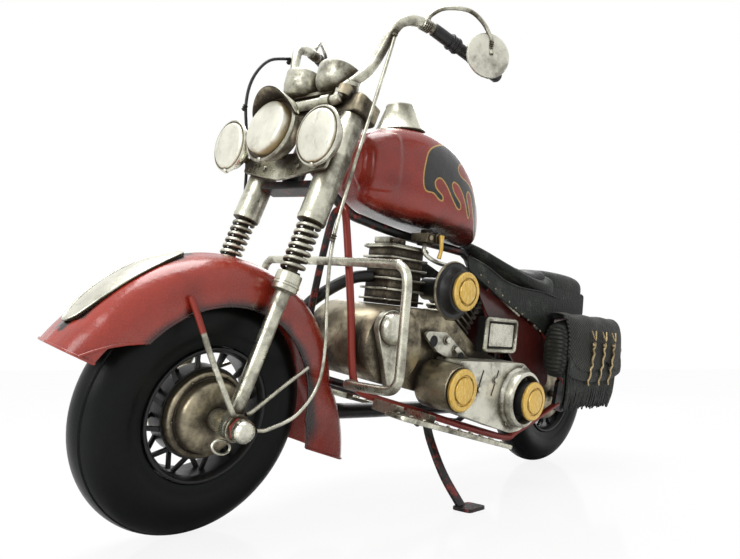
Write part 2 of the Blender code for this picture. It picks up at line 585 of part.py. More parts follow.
# The stand's foot lies flat on the ground, which is tilted in this frame.
to_ground = (Matrix.Translation(lean_point) @ Matrix.Rotation(-LEAN, 4, "X") @
             Matrix.Translation(-lean_point))
foot = Solid().box((-22, -61, 0), (-9, -50, 1.6)).move(to_ground)
stand = Solid().tube([(-21, -28.2, 46.6), (-20.6, -33, 36), (-19.6, -42.5, 22), (-16.5, -53.0, 10.8)],
                     2.0, 8)
knuckle = Solid().spindle([(-2.0, 3.0), (1.0, 3.0)], (-21, -27.2, 47.2), STAND_AXIS, 14)
node("side_stand", "dark_metal", stand, join=[foot, knuckle])
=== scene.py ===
"""The looks of a handmade tin motorcycle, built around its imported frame."""
import math
import random

import bmesh
import bpy
from mathutils import Matrix, Vector


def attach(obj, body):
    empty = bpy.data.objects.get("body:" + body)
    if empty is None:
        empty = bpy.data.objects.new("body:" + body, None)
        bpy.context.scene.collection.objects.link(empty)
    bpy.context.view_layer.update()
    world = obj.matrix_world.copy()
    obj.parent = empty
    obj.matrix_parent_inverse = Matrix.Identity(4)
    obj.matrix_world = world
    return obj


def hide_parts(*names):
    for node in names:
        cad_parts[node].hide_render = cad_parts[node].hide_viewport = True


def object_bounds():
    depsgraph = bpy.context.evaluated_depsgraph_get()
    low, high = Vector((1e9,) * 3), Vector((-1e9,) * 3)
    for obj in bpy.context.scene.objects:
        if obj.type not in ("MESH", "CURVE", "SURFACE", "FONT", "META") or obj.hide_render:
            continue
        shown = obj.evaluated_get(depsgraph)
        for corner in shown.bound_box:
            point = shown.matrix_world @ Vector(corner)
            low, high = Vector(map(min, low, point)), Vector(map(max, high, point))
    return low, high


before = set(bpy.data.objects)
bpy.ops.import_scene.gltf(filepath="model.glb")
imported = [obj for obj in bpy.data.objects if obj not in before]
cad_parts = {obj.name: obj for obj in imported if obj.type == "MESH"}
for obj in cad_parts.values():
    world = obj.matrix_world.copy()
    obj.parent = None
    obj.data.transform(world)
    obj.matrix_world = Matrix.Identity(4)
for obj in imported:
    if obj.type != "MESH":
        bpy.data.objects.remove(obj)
CAD_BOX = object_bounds()

# All shapes are in millimetres in the motorcycle's own upright frame:
# forward is -X, its left is -Y, up is +Z, and the tyres touch z = 0.
MM = 0.001
TYRE_R, TYRE_HALF, RIM_R = 50.0, 11.0, 27.7
FRONT_X, REAR_X = -131.0, 135.5
LEAN, RAKE, TURN = math.radians(9.66), math.radians(17.5), math.radians(6.7)
CENTRE = Vector((-2.99, 22.37, 0))
LEG_Y = 23.5
UP = Vector((0, 0, 1))

lean_point = Vector((0, 0, TYRE_HALF))
lean_rot = Matrix.Rotation(LEAN, 4, "X")
lean_at = lean_point - lean_rot @ lean_point + CENTRE
BIKE = Matrix.Translation(lean_at * MM) @ lean_rot
STEER = (BIKE @ Matrix.Translation(Vector((FRONT_X, 0, TYRE_R)) * MM)
         @ Matrix.Rotation(RAKE, 4, "Y") @ Matrix.Rotation(TURN, 4, "Z"))
FENDER = STEER @ Matrix.Rotation(-RAKE, 4, "Y")
REAR = BIKE @ Matrix.Translation(Vector((REAR_X, 0, TYRE_R)) * MM)
SIDES = (("l", -1), ("r", 1))


# ---- camera and lights ----------------------------------------------------------------------
def look():
    cam = bpy.data.objects.new("camera", bpy.data.cameras.new("camera"))
    bpy.context.scene.collection.objects.link(cam)
    right = Vector((0.7384208, -0.6743372, -0.0020181))
    up = Vector((-0.1068831, -0.1199943, 0.9870042))
    forward = Vector((0.6658159, 0.7286087, 0.1606815))
    turn = Matrix((right, up, -forward)).transposed().to_4x4()
    cam.matrix_world = Matrix.Translation((-0.23781777, -0.20377754, 0.06628001)) @ turn
    cam.data.sensor_width = 36.0
    cam.data.lens = 26.5487
    cam.data.clip_start, cam.data.clip_end = 0.01, 50
    bpy.context.scene.camera = cam


def lamp_panel(name, at, towards, size, power, colour=(1, 1, 1)):
    light = bpy.data.objects.new(name, bpy.data.lights.new(name, "AREA"))
    bpy.context.scene.collection.objects.link(light)
    light.data.shape = "RECTANGLE"
    light.data.size, light.data.size_y = size
    light.data.energy = power
    light.data.color = colour
    light.location = at
    aim = Vector(towards) - Vector(at)
    light.rotation_mode = "QUATERNION"
    light.rotation_quaternion = aim.to_track_quat("-Z", "Y")


look()
lamp_panel("softbox_top", (-0.15, 0.10, 1.0), (0, 0, 0.1), (0.7, 0.7), 9.5)
lamp_panel("softbox_left", (-0.95, -0.25, 0.45), (-0.05, 0, 0.1), (0.5, 0.6), 4.5)
lamp_panel("softbox_back", (0.75, 0.55, 0.7), (0, 0, 0.1), (0.6, 0.5), 3.5)
bpy.context.scene.view_settings.view_transform = "Standard"


# ---- shader arithmetic ----------------------------------------------------------------------
class Wire:
    """A shader socket that takes part in Python arithmetic."""

    def __init__(self, surface, socket):
        self.surface, self.socket = surface, socket

    def maths(self, operation, first, second, clamp=False):
        return self.surface.make("ShaderNodeMath", {"operation": operation, "use_clamp": clamp},
                                 {0: first, 1: second})

    def __add__(self, other):
        return self.maths("ADD", self, other)

    def __sub__(self, other):
        return self.maths("SUBTRACT", self, other)

    def __rsub__(self, other):
        return self.maths("SUBTRACT", other, self)

    def __mul__(self, other):
        return self.maths("MULTIPLY", self, other)

    def __pow__(self, other):
        return self.maths("POWER", self, other)

    __radd__ = __add__
    __rmul__ = __mul__


    def size(self):
        return self.maths("ABSOLUTE", self, 0.0)

    def between(self, low, high, start=0.0, end=1.0):
        """A smooth step from start to end as the value goes from low to high."""
        return self.surface.make("ShaderNodeMapRange", {"interpolation_type": "SMOOTHSTEP"},
                                 {"Value": self, "From Min": low, "From Max": high,
                                  "To Min": start, "To Max": end})


class Surface:
    """One procedural finish."""

    def __init__(self, name):
        self.material = bpy.data.materials.new(name)
        self.material.use_nodes = True
        self.tree = self.material.node_tree
        self.shader = self.tree.nodes["Principled BSDF"]

    def put(self, socket, value):
        if isinstance(value, Wire):
            self.tree.links.new(value.socket, socket)
        elif isinstance(value, tuple) and len(value) == 3 and len(socket.default_value) == 4:
            socket.default_value = (*value, 1.0)
        else:
            socket.default_value = value

    def make(self, kind, settings=None, values=None, out=0):
        node = self.tree.nodes.new(kind)
        for key, value in (settings or {}).items():
            if key == "stops":
                while len(node.color_ramp.elements) < len(value):
                    node.color_ramp.elements.new(0.5)
                for element, (at, colour) in zip(node.color_ramp.elements, value):
                    element.position, element.color = at, (*colour, 1.0)
            else:
                setattr(node, key, value)
        for key, value in (values or {}).items():
            self.put(node.inputs[key], value)
        return Wire(self, node.outputs[out])

    def spot(self, stretch=None):
        """The point in the piece's own frame, in metres, stretched if asked."""
        at = self.make("ShaderNodeTexCoord", out=3)
        if stretch is None:
            return at
        return self.make("ShaderNodeVectorMath", {"operation": "MULTIPLY"}, {0: at, 1: stretch})

    def noise(self, scale, detail=3.0, rough=0.55, stretch=None, warp=0.0):
        return self.make("ShaderNodeTexNoise", None, {"Vector": self.spot(stretch), "Scale": scale,
                         "Detail": detail, "Roughness": rough, "Distortion": warp})

    def mix(self, mask, first, second):
        return self.make("ShaderNodeMix", {"data_type": "RGBA"}, {0: mask, 6: first, 7: second}, 2)

    def hollow(self, reach):
        """1 deep in corners and joints, 0 on open faces; the finishes use it to paint shade (and, on metal, patina)
        into recesses.
        """
        open_sky = self.make("ShaderNodeAmbientOcclusion", {"samples": 6},
                             {"Distance": reach}, 1)
        return 1 - open_sky

    def facing_down(self):
        """0 on faces that look up, 1 on faces that look down; worn metal uses it to paint shade on undersides."""
        normal = self.make("ShaderNodeNewGeometry", out=1)
        high = self.make("ShaderNodeSeparateXYZ", None, {0: normal}, 2)
        return 0.5 - high * 0.5

    def stored(self, name):
        return self.make("ShaderNodeAttribute", {"attribute_name": name}, None, 2)

    def axis(self, index):
        parts = self.make("ShaderNodeSeparateXYZ", None, {0: self.spot()}, index)
        return parts

    def bump(self, height, depth, strength=1.0):
        return self.make("ShaderNodeBump", None,
                         {"Height": height, "Distance": depth, "Strength": strength})

    def finish(self, **sockets):
        for key, value in sockets.items():
            self.put(self.shader.inputs[key.replace("_", " ")], value)
        return self.material


def worn_metal(name, bright, patina_and_shade_tone, amount, rough=0.3, reach=0.005, metallic=1.0, dent=0.00022):
    """Silvered tin, brown where rubbing never reaches and scratched where it does, with painted shade darkening its
    corners and the faces that look down.
    """
    s = Surface(name)
    blotch = s.noise(85, 6, 0.62)
    fine = s.noise(620, 3, 0.6)
    scratch = s.noise(300, 3, 0.6, (1.0, 1.0, 0.12)).between(0.62, 0.68)
    corner = s.hollow(reach)
    under = s.facing_down()
    # Patina blotches plus painted shade: corners (ambient occlusion) and downward faces are pulled to the dark patina
    # tone.
    patina_and_shade = (blotch * 0.80 + fine * 0.20 + corner * 0.95 + under * 0.26
             ).between(0.66 - amount, 1.02 - amount)
    colour = s.mix(blotch.between(0.35, 0.7), bright, tuple(c * 0.80 for c in bright))
    colour = s.mix(patina_and_shade, colour, patina_and_shade_tone)
    colour = s.mix(scratch * 0.30, colour, tuple(c * 0.45 for c in bright))
    # Painted shade: near black deep in corners and joints.
    colour = s.mix(corner.between(0.55, 0.95) * 0.7, colour, (0.018, 0.012, 0.008))
    height = s.noise(140, 3, 0.5) + fine * 0.12 - scratch * 0.25
    return s.finish(Base_Color=colour, Metallic=(1 - patina_and_shade * 0.75) * metallic,
                    Roughness=(fine * 0.22 + patina_and_shade * 0.28) + rough - 0.1,
                    Normal=s.bump(height, dent))


def sprayed_paint(name, paint, shade, rough=0.24, spread=0.0, flames=False):
    """Lacquer over tin with a dark airbrushed shade stored on the piece as a mask, plus painted shade in its corners.
    """
    s = Surface(name)
    cloud = s.noise(75, 4, 0.6)
    speck = s.noise(1500, 2, 0.6)
    corner = s.hollow(0.010)
    # The dark mask adds painted corner shade (ambient occlusion) to the airbrushed shade and the cloudy tone.
    mask = s.stored("shade") + corner * 0.30 + (cloud - 0.5) * 0.60 + spread
    dark = mask.between(0.30, 0.95)
    colour = s.mix(cloud.between(0.3, 0.75), paint, tuple(c * 0.72 for c in paint))
    colour = s.mix(dark, colour, shade)
    chip = (s.noise(330, 5, 0.7) + s.stored("edge") * 0.22).between(0.735, 0.76)
    colour = s.mix(chip * 0.8, colour, (0.035, 0.02, 0.015))
    if flames:
        reach = s.stored("flame_reach")
        colour = s.mix(reach.between(-0.10, 0.10, 1.0, 0.0), colour, (0.006, 0.007, 0.006))
        line = reach.size().between(0.26, 0.44, 1.0, 0.0)
        colour = s.mix(line, colour, (0.60, 0.36, 0.09))
    height = s.noise(140, 3, 0.5) * 1.0 + speck * 0.10 - chip * 0.4
    return s.finish(Base_Color=colour, Roughness=speck * 0.12 + cloud * 0.10 + rough - 0.08,
                    Coat_Weight=0.35, Coat_Roughness=0.16, Specular_IOR_Level=0.5,
                    Normal=s.bump(height, 0.0005))


def worn_black(name, under, base=(0.012, 0.012, 0.012), rough=0.36, worn=0.0):
    """Black paint rubbed through to the colour below."""
    s = Surface(name)
    blotch = s.noise(160, 5, 0.65)
    fine = s.noise(1100, 3, 0.6)
    rub = (blotch * 0.8 + fine * 0.2).between(0.62 - worn, 0.72 - worn)
    colour = s.mix(rub, base, under)
    return s.finish(Base_Color=colour, Roughness=fine * 0.2 + rough - 0.08,
                    Metallic=0.25, Normal=s.bump(blotch + fine * 0.3, 0.00025))


def black_tyre():
    s = Surface("tyre_rubber")
    cloud = s.noise(60, 4, 0.6)
    grain = s.noise(1800, 3, 0.6)
    dust = (s.noise(240, 5, 0.7) * 0.7 + cloud * 0.3).between(0.55, 0.78)
    colour = s.mix(dust * 0.30, (0.0032, 0.0046, 0.0038), (0.018, 0.022, 0.016))
    return s.finish(Base_Color=colour, Roughness=cloud * 0.14 + grain * 0.10 + 0.24,
                    Specular_IOR_Level=0.15, Normal=s.bump(grain * 0.5 + cloud, 0.00012))


def scratched_gold():
    s = Surface("scratched_gold")
    blotch = s.noise(260, 5, 0.65)
    fine = s.noise(1400, 3, 0.7, (1, 1, 0.2))
    corner = s.hollow(0.003)
    # Patina blotches plus painted shade in corners, mixed to dark brown.
    patina_and_shade = (blotch * 0.8 + fine * 0.2 + corner * 0.75).between(0.62, 0.95)
    colour = s.mix(fine.between(0.4, 0.7), (0.72, 0.44, 0.075), (0.86, 0.66, 0.26))
    colour = s.mix(patina_and_shade, colour, (0.11, 0.055, 0.012))
    return s.finish(Base_Color=colour, Metallic=0.65, Roughness=fine * 0.25 + patina_and_shade * 0.2 + 0.20,
                    Normal=s.bump(blotch + fine * 0.4, 0.0003))


def hide(name, base, worn, weave=False, rough=0.5):
    """Leather: pebbled grain with worn, paler high spots; or a coarse woven stamp."""
    s = Surface(name)
    cells = s.make("ShaderNodeTexVoronoi", {"feature": "F1"},
                   {"Vector": s.spot(), "Scale": 900.0})
    cloud = s.noise(110, 5, 0.65)
    fine = s.noise(1300, 3, 0.6)
    rub = (cloud * 0.65 + fine * 0.35).between(0.50, 0.68)
    height = cells * 0.8 + fine * 0.5
    if weave:
        steps = 2400.0
        x = s.make("ShaderNodeMath", {"operation": "SINE"}, {0: s.axis(0) * steps})
        z = s.make("ShaderNodeMath", {"operation": "SINE"}, {0: s.axis(2) * steps})
        height = height * 0.35 + x * z * 0.7
        rub = (rub * 0.55 + (x * z).between(0.1, 0.9) * 0.5)
    corner = s.hollow(0.006)
    colour = s.mix(rub * 0.8, base, worn)
    # Painted shade: near black in corners and creases.
    colour = s.mix(corner.between(0.2, 0.9), colour, (0.006, 0.006, 0.006))
    return s.finish(Base_Color=colour, Roughness=fine * 0.2 + rough - 0.08,
                    Specular_IOR_Level=0.22, Normal=s.bump(height, 0.0004))


SILVER = worn_metal("distressed_silver", (0.66, 0.65, 0.53), (0.040, 0.026, 0.010), 0.11, 0.27,
                    dent=0.00012)
CLEAN = worn_metal("rubbed_silver", (0.72, 0.71, 0.60), (0.060, 0.042, 0.017), 0.03, 0.26,
                   dent=0.00012)
BROWN = worn_metal("browned_silver", (0.44, 0.385, 0.265), (0.022, 0.014, 0.006), 0.15, 0.33)
PLATE = worn_metal("pale_tin", (0.73, 0.72, 0.61), (0.055, 0.040, 0.018), 0.05, 0.30,
                   metallic=0.8)
LENS = worn_metal("lamp_glass", (0.82, 0.81, 0.69), (0.33, 0.24, 0.10), -0.01, 0.36,
                  metallic=0.45, dent=0.0006)
RED = sprayed_paint("sprayed_red", (0.36, 0.031, 0.014), (0.012, 0.003, 0.002))
FLAME_RED = sprayed_paint("flame_red", (0.31, 0.026, 0.014), (0.012, 0.003, 0.002), flames=True)
DEEP_RED = sprayed_paint("deep_red", (0.085, 0.012, 0.009), (0.006, 0.003, 0.002), 0.32,
                         spread=0.15)
BLACK = worn_black("worn_black", (0.17, 0.13, 0.10))
RED_BLACK = worn_black("black_over_red", (0.26, 0.030, 0.018), worn=0.10)
RED_STAVE = worn_black("red_over_black", (0.012, 0.010, 0.010), (0.27, 0.030, 0.018))
PIT = worn_black("dark_recess", (0.06, 0.05, 0.04), (0.006, 0.006, 0.006), 0.6)
RUBBER = black_tyre()
GOLD = scratched_gold()
HIDE = hide("grey_leather", (0.017, 0.020, 0.017), (0.088, 0.095, 0.078))
WOVEN = hide("stamped_leather", (0.013, 0.014, 0.012), (0.085, 0.084, 0.066), weave=True)
BRASS = worn_metal("old_brass", (0.55, 0.42, 0.22), (0.10, 0.07, 0.03), 0.05, 0.3)


# ---- mesh making ----------------------------------------------------------------------------
def spline(points, per=6):
    """A smooth line through the points."""
    pts = [Vector(p) for p in points]
    ends = [2 * pts[0] - pts[1]] + pts + [2 * pts[-1] - pts[-2]]
    out = []
    for i in range(1, len(ends) - 2):
        a, b, c, d = ends[i - 1:i + 3]
        for k in range(per):
            t = k / per
            out.append(0.5 * ((2 * b) + (c - a) * t + (2 * a - 5 * b + 4 * c - d) * t * t
                              + (3 * b - a - 3 * c + d) * t ** 3))
    out.append(pts[-1])
    return out


def flat_spline(points, per=4):
    """A smooth closed x-z line through the points."""
    line = spline([Vector((x, z, 0)) for x, z in points + points[:1]], per)[:-1]
    return [(p.x, p.y) for p in line]


def basis(axis):
    z = Vector(axis).normalized()
    x = Vector((1, 0, 0)) if abs(z.x) < 0.9 else Vector((0, 0, 1))
    x = (x - z * x.dot(z)).normalized()
    return Matrix((x, z.cross(x), z)).transposed()


def rounded(line, radius, steps=3, loop=False):
    """A 2-D line with its corners rounded."""
    pts = [Vector(p) for p in line]
    out = []
    for i, p in enumerate(pts):
        if not loop and i in (0, len(pts) - 1):
            out.append(tuple(p))
            continue
        before, after = pts[i - 1] - p, pts[(i + 1) % len(pts)] - p
        cut = min(radius, before.length * 0.45, after.length * 0.45)
        start, end = p + before.normalized() * cut, p + after.normalized() * cut
        for k in range(steps + 1):
            t = k / steps
            out.append(tuple((1 - t) ** 2 * start + 2 * t * (1 - t) * p + t * t * end))
    return out


class Shape:
    """A mesh being made, in millimetres."""

    def __init__(self):
        self.bm = bmesh.new()
        self.at = Matrix.Identity(4)

    def vert(self, p):
        return self.bm.verts.new(self.at @ Vector(p))

    def skin(self, rings, m=0, loop=False, caps=True, open_ring=False):
        rows = [[self.vert(p) for p in ring] for ring in rings]
        pairs = list(zip(rows, rows[1:])) + ([(rows[-1], rows[0])] if loop else [])
        count = len(rows[0])
        for first, second in pairs:
            for i in range(count - (1 if open_ring else 0)):
                j = (i + 1) % count
                self.bm.faces.new((first[i], first[j], second[j], second[i])).material_index = m
        if caps and not loop:
            self.bm.faces.new(rows[0][::-1]).material_index = m
            self.bm.faces.new(rows[-1]).material_index = m
        return self

    def turn(self, profile, at=(0, 0, 0), axis=(0, 1, 0), steps=40, m=0, soft=0.0):
        """Turns an open profile of (along, radius); it is closed on the axis at both ends."""
        line = rounded(profile, soft) if soft else profile
        turned = basis(axis)
        rings = []
        for along, radius in line:
            ring = []
            for i in range(steps):
                a = 2 * math.pi * i / steps
                p = Vector((max(radius, 0.02) * math.cos(a), max(radius, 0.02) * math.sin(a), along))
                ring.append(Vector(at) + turned @ p)
            rings.append(ring)
        return self.skin(rings, m)

    def hoop(self, profile, at=(0, 0, 0), axis=(0, 1, 0), steps=64, m=0):
        """Turns a closed profile that stays off the axis."""
        turned = basis(axis)
        rings = []
        for i in range(steps):
            a = 2 * math.pi * i / steps
            rings.append([Vector(at) + turned @ Vector((r * math.cos(a), r * math.sin(a), along))
                          for along, r in profile])
        return self.skin(rings, m, loop=True)

    def sweep(self, path, section, m=0, up=None, scale=None, loop=False):
        """Carries a section of (u, v) points along a path."""
        pts = [Vector(p) for p in path]
        rings, side = [], None
        last = len(pts) - 1
        for i, p in enumerate(pts):
            if loop:
                t = (pts[(i + 1) % len(pts)] - pts[i - 1]).normalized()
            else:
                t = (pts[min(i + 1, last)] - pts[max(i - 1, 0)]).normalized()
            if up is not None:
                side = t.cross(Vector(up)).normalized()
            else:
                side = t.orthogonal() if side is None else side
                side = (side - t * side.dot(t)).normalized()
            over = side.cross(t)
            k = scale[i] if scale else 1.0
            rings.append([p + k * (u * side + v * over) for u, v in section])
        return self.skin(rings, m, loop=loop)

    def rod(self, points, radius, m=0, sides=12, per=6):
        path = spline(points, per) if per else [Vector(p) for p in points]
        scale = None
        if isinstance(radius, (list, tuple)):
            scale = []
            for i in range(len(path)):
                t = i / (len(path) - 1) * (len(radius) - 1)
                k = min(int(t), len(radius) - 2)
                scale.append(radius[k] + (radius[k + 1] - radius[k]) * (t - k))
            radius = 1.0
        section = [(radius * math.cos(2 * math.pi * k / sides),
                    radius * math.sin(2 * math.pi * k / sides)) for k in range(sides)]
        return self.sweep(path, section, m, scale=scale)

    def slab(self, outline, y0, y1, m=0, soft=0.0):
        """An x-z outline given a thickness from y0 to y1."""
        line = rounded(outline, soft, 4, True) if soft else outline
        return self.skin([[(x, y, z) for x, z in line] for y in (y0, y1)], m)

    def block(self, low, high, m=0):
        (x0, y0, z0), (x1, y1, z1) = low, high
        ring = [(x0, y0), (x1, y0), (x1, y1), (x0, y1)]
        return self.skin([[(x, y, z) for x, y in ring] for z in (z0, z1)], m)

    def bolt(self, at, axis, radius, high, m=0, sides=6):
        """A hexagon head on a washer."""
        self.turn([(0, 0), (0, radius * 1.35), (high * 0.25, radius * 1.35), (high * 0.25, 0)],
                  at, axis, 18, m)
        return self.turn([(0, 0), (0, radius), (high * 0.85, radius), (high, radius * 0.8),
                          (high, 0)], at, axis, sides, m)

    def stud(self, at, axis, radius, high, m=0):
        line = [(high * math.sin(a), radius * math.cos(a))
                for a in (math.pi / 2 * k / 4 for k in range(5))]
        return self.turn([(-0.4, radius)] + line, at, axis, 12, m)

    def mesh(self, name):
        bmesh.ops.recalc_face_normals(self.bm, faces=self.bm.faces)
        bmesh.ops.scale(self.bm, vec=(MM, MM, MM), verts=self.bm.verts)
        data = bpy.data.meshes.new(name)
        self.bm.to_mesh(data)
        self.bm.free()
        return data


def piece(name, body, shape, finishes, at=BIKE, stands_for=(), bevel=0.0, levels=0,
          angle=38):
    """Makes the shape a piece that rides on a body."""
    obj = bpy.data.objects.new(name, shape.mesh(name))
    bpy.context.scene.collection.objects.link(obj)
    obj.matrix_world = at
    for finish in finishes if isinstance(finishes, (list, tuple)) else [finishes]:
        obj.data.materials.append(finish)
    obj.data.polygons.foreach_set("use_smooth", [True] * len(obj.data.polygons))
    obj.data.set_sharp_from_angle(angle=math.radians(angle))
    if bevel:
        mod = obj.modifiers.new("edge", "BEVEL")
        mod.width, mod.segments, mod.limit_method = bevel * MM, 2, "ANGLE"
        mod.angle_limit, mod.harden_normals = math.radians(40), True
    if levels:
        mod = obj.modifiers.new("round", "SUBSURF")
        mod.levels = mod.render_levels = levels
    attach(obj, body)
    if stands_for:
        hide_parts(*stands_for)
    return obj


def store(obj, name, rule):
    """Stores rule(point in millimetres) on every vertex."""
    attribute = obj.data.attributes.new(name, "FLOAT", "POINT")
    attribute.data.foreach_set("value", [rule(v.co / MM) for v in obj.data.vertices])


# ---- wheels ---------------------------------------------------------------------------------
def tyre_section():
    """The tyre's closed section, with a fine groove on each shoulder and a raised bead."""
    line = []
    for k in range(61):
        angle = 3 * k
        radius = TYRE_HALF
        if min(abs(angle - 90 - 30), abs(angle - 90 + 30)) < 2:
            radius -= 0.45
        line.append((radius * math.cos(math.radians(angle)),
                     TYRE_R - TYRE_HALF + radius * math.sin(math.radians(angle))))
    line += [(-10.9, 36.2), (-10.3, 34.4), (-10.2, 33.8), (-9.9, 33.4), (-9.4, 31.0), (-9.1, 29.2),
             (-8.5, 28.1), (8.5, 28.1), (9.1, 29.2), (9.4, 31.0), (9.9, 33.4), (10.2, 33.8),
             (10.3, 34.4), (10.9, 36.2)]
    return line


def spoked_rim():
    s = Shape()
    s.hoop(rounded([(-9.3, 27.6), (-9.3, 26.3), (-6.5, 25.0), (6.5, 25.0), (9.3, 26.3), (9.3, 27.6)],
                   0.5, 2, True))
    s.hoop([(-4.6, 19.0), (-4.6, 18.1), (4.6, 18.1), (4.6, 19.0)], steps=48)
    bars = 24
    for k in range(bars):
        a = 2 * math.pi * (k + 0.3) / bars
        lean = 0.13 if k % 2 else -0.13
        b, deep = a + lean, 2.6 if k % 2 else -2.6
        path = [(18.4 * math.cos(a), deep * 1.3, 18.4 * math.sin(a)),
                (25.9 * math.cos(b), deep * 0.5, 25.9 * math.sin(b))]
        s.sweep(path, [(-0.55, -0.9), (0.55, -0.9), (0.55, 0.9), (-0.55, 0.9)],
                up=(math.sin(a), 0, -math.cos(a)))
    return s


def wheel_hub(side):
    """A stepped, domed hub cover with a flange, on the side that shows."""
    s = Shape()
    line = [(-8.5, 2.4), (-8.5, 17.0), (-7.9, 18.0), (6.2, 18.0), (7.6, 17.7), (8.3, 16.9),
            (8.4, 15.9), (8.0, 15.4), (8.2, 15.0), (10.6, 14.9), (12.2, 14.5), (13.2, 13.5),
            (13.8, 12.0), (14.0, 10.2), (14.1, 7.2), (14.1, 2.4)]
    s.hoop([(side * x, r) for x, r in line], steps=72)
    for k in range(6):
        a = math.pi * k / 3 + 0.4
        s.stud((16.1 * math.cos(a), side * 8.5, 16.1 * math.sin(a)), (0, side, 0), 0.6, 0.5)
    return s


for end, at, side in (("front", STEER, -1), ("rear", REAR, 1)):
    body = end + "_wheel"
    piece(end + "_tyre_skin", body, Shape().hoop(tyre_section(), steps=120), RUBBER, at,
          (end + "_tyre",), angle=30)
    piece(end + "_spokes", body, spoked_rim(), BLACK, at, (end + "_rim",), angle=30)
    piece(end + "_hub_cover", body, wheel_hub(side), BROWN, at, (end + "_hub",))

s = Shape()
for side in (-1, 1):
    s.turn([(-0.2, 0), (-0.2, 3.2), (0.9, 4.25), (2.7, 4.7), (4.6, 4.35), (6.3, 3.1), (7.1, 1.4),
            (7.3, 0)], (0, side * 29.2, 0), (0, side, 0), 40)
s.turn([(-29.3, 0), (-29.3, 2.0), (29.3, 2.0), (29.3, 0)], steps=24)
piece("front_axle_caps", "fork", s, CLEAN, STEER, ("front_axle",))
s = Shape()
for side in (-1, 1):
    s.turn([(14.3, 2.0), (14.3, 4.4), (19.6, 4.4), (19.6, 2.0)], axis=(0, side, 0), steps=24)
    s.turn([(27.0, 2.0), (27.0, 4.4), (29.0, 4.4), (29.4, 4.0), (29.4, 2.0)], axis=(0, side, 0),
           steps=6, m=1)
    loop = [(4.2 * math.cos(math.pi * k / 9) - 2.5, side * (26.4 - 0.4 * math.sin(math.pi * k / 9)),
             2.5 * math.sin(math.pi * k / 9) - 8.2) for k in range(18)]
    s.sweep(loop, [(0.5 * math.cos(math.pi * k / 3), 0.5 * math.sin(math.pi * k / 3))
                   for k in range(6)], loop=True)
piece("axle_nuts", "fork", s, (SILVER, RED_STAVE), STEER)
s = Shape()
s.turn([(-25.6, 0), (-25.6, 1.4), (-25.0, 3.4), (-22.8, 3.4), (-22.7, 2.0), (22.7, 2.0), (22.8, 3.4),
        (25.0, 3.4), (25.6, 1.4), (25.6, 0)], steps=24)
for side in (-1, 1):
    s.bolt((0, side * 22.5, 0), (0, side, 0), 4.2, 2.4)
piece("rear_axle_nuts", "chassis", s, SILVER, REAR, ("rear_axle",))

# ---- fork -----------------------------------------------------------------------------------
for tag, side in SIDES:
    y = side * LEG_Y
    s = Shape()
    s.turn([(3.0, 0), (3.0, 3.1), (44, 3.15), (55.4, 3.3), (56.0, 4.0), (56.4, 5.3), (57.0, 5.5),
            (63.2, 5.5), (63.9, 5.3), (64.3, 4.2), (64.6, 2.5), (100, 2.5), (100, 0)],
           (0, y, 0), UP, 36)
    s.hoop(rounded([(-3.1, 2.3), (-3.1, 5.2), (3.1, 5.2), (3.1, 2.3)], 0.4, 2, True), (0, y, 0),
           steps=40)
    s.hoop([(58.6, 5.4), (58.6, 5.75), (59.4, 5.75), (59.4, 5.4)], (0, y, 0), UP, 36)
    piece("fork_leg_" + tag, "fork", s, SILVER, STEER, ("fork_slider_" + tag,))
    s = Shape()
    s.hoop([(87.6, 3.4), (87.4, 5.0), (88.0, 6.2), (89.6, 6.5), (90.6, 6.25), (118, 6.3),
            (118.6, 6.7), (120.8, 6.7), (121.4, 6.3), (139.4, 6.3), (139.8, 6.0), (139.8, 3.4)],
           (0, y, 0), UP, 40)
    piece("fork_sleeve_" + tag, "fork", s, SILVER, STEER, ("fork_tube_" + tag,))
    turns, steps = 7.0, 26
    coil = []
    for i in range(int(turns * steps) + 1):
        a = 2 * math.pi * i / steps
        coil.append((4.45 * math.cos(a), y + 4.45 * math.sin(a), 65.3 + 21.4 * i / (turns * steps)))
    piece("fork_coil_" + tag, "fork", Shape().rod(coil, 0.92, sides=10, per=0), SILVER, STEER,
          ("fork_spring_" + tag,))

s = Shape()
s.block((-3.2, -17.0, 103.0), (5.0, 17.0, 107.0))
s.turn([(103.5, 0), (103.5, 2.9), (146, 2.9), (146, 0)], axis=UP, steps=28)
piece("lower_crossbar", "fork", s, RED_BLACK, STEER, ("lower_yoke",), bevel=0.5)
s = Shape()
outline = rounded([(-5.6, -31), (-5.6, 31), (9.0, 31), (9.0, -31)], 3.0, 4, True)
s.skin([[(x * k, y * k, z) for x, y in outline] for k, z in ((0.97, 140.2), (1, 140.8), (1, 148.8),
                                                          (0.96, 149.5))])
for side in (-1, 1):
    s.turn([(0, 0), (0, 4.4), (1.2, 4.4), (1.8, 3.6), (1.8, 0)], (0, side * LEG_Y, 149.4), UP, 6)
    s.turn([(0, 0), (0, 3.6), (5.0, 3.6), (5.4, 3.0), (5.4, 0)], (-7.6, side * 21.5, 146), UP, 28)
piece("upper_clamp", "fork", s, BROWN, STEER, ("upper_yoke",), bevel=0.3)

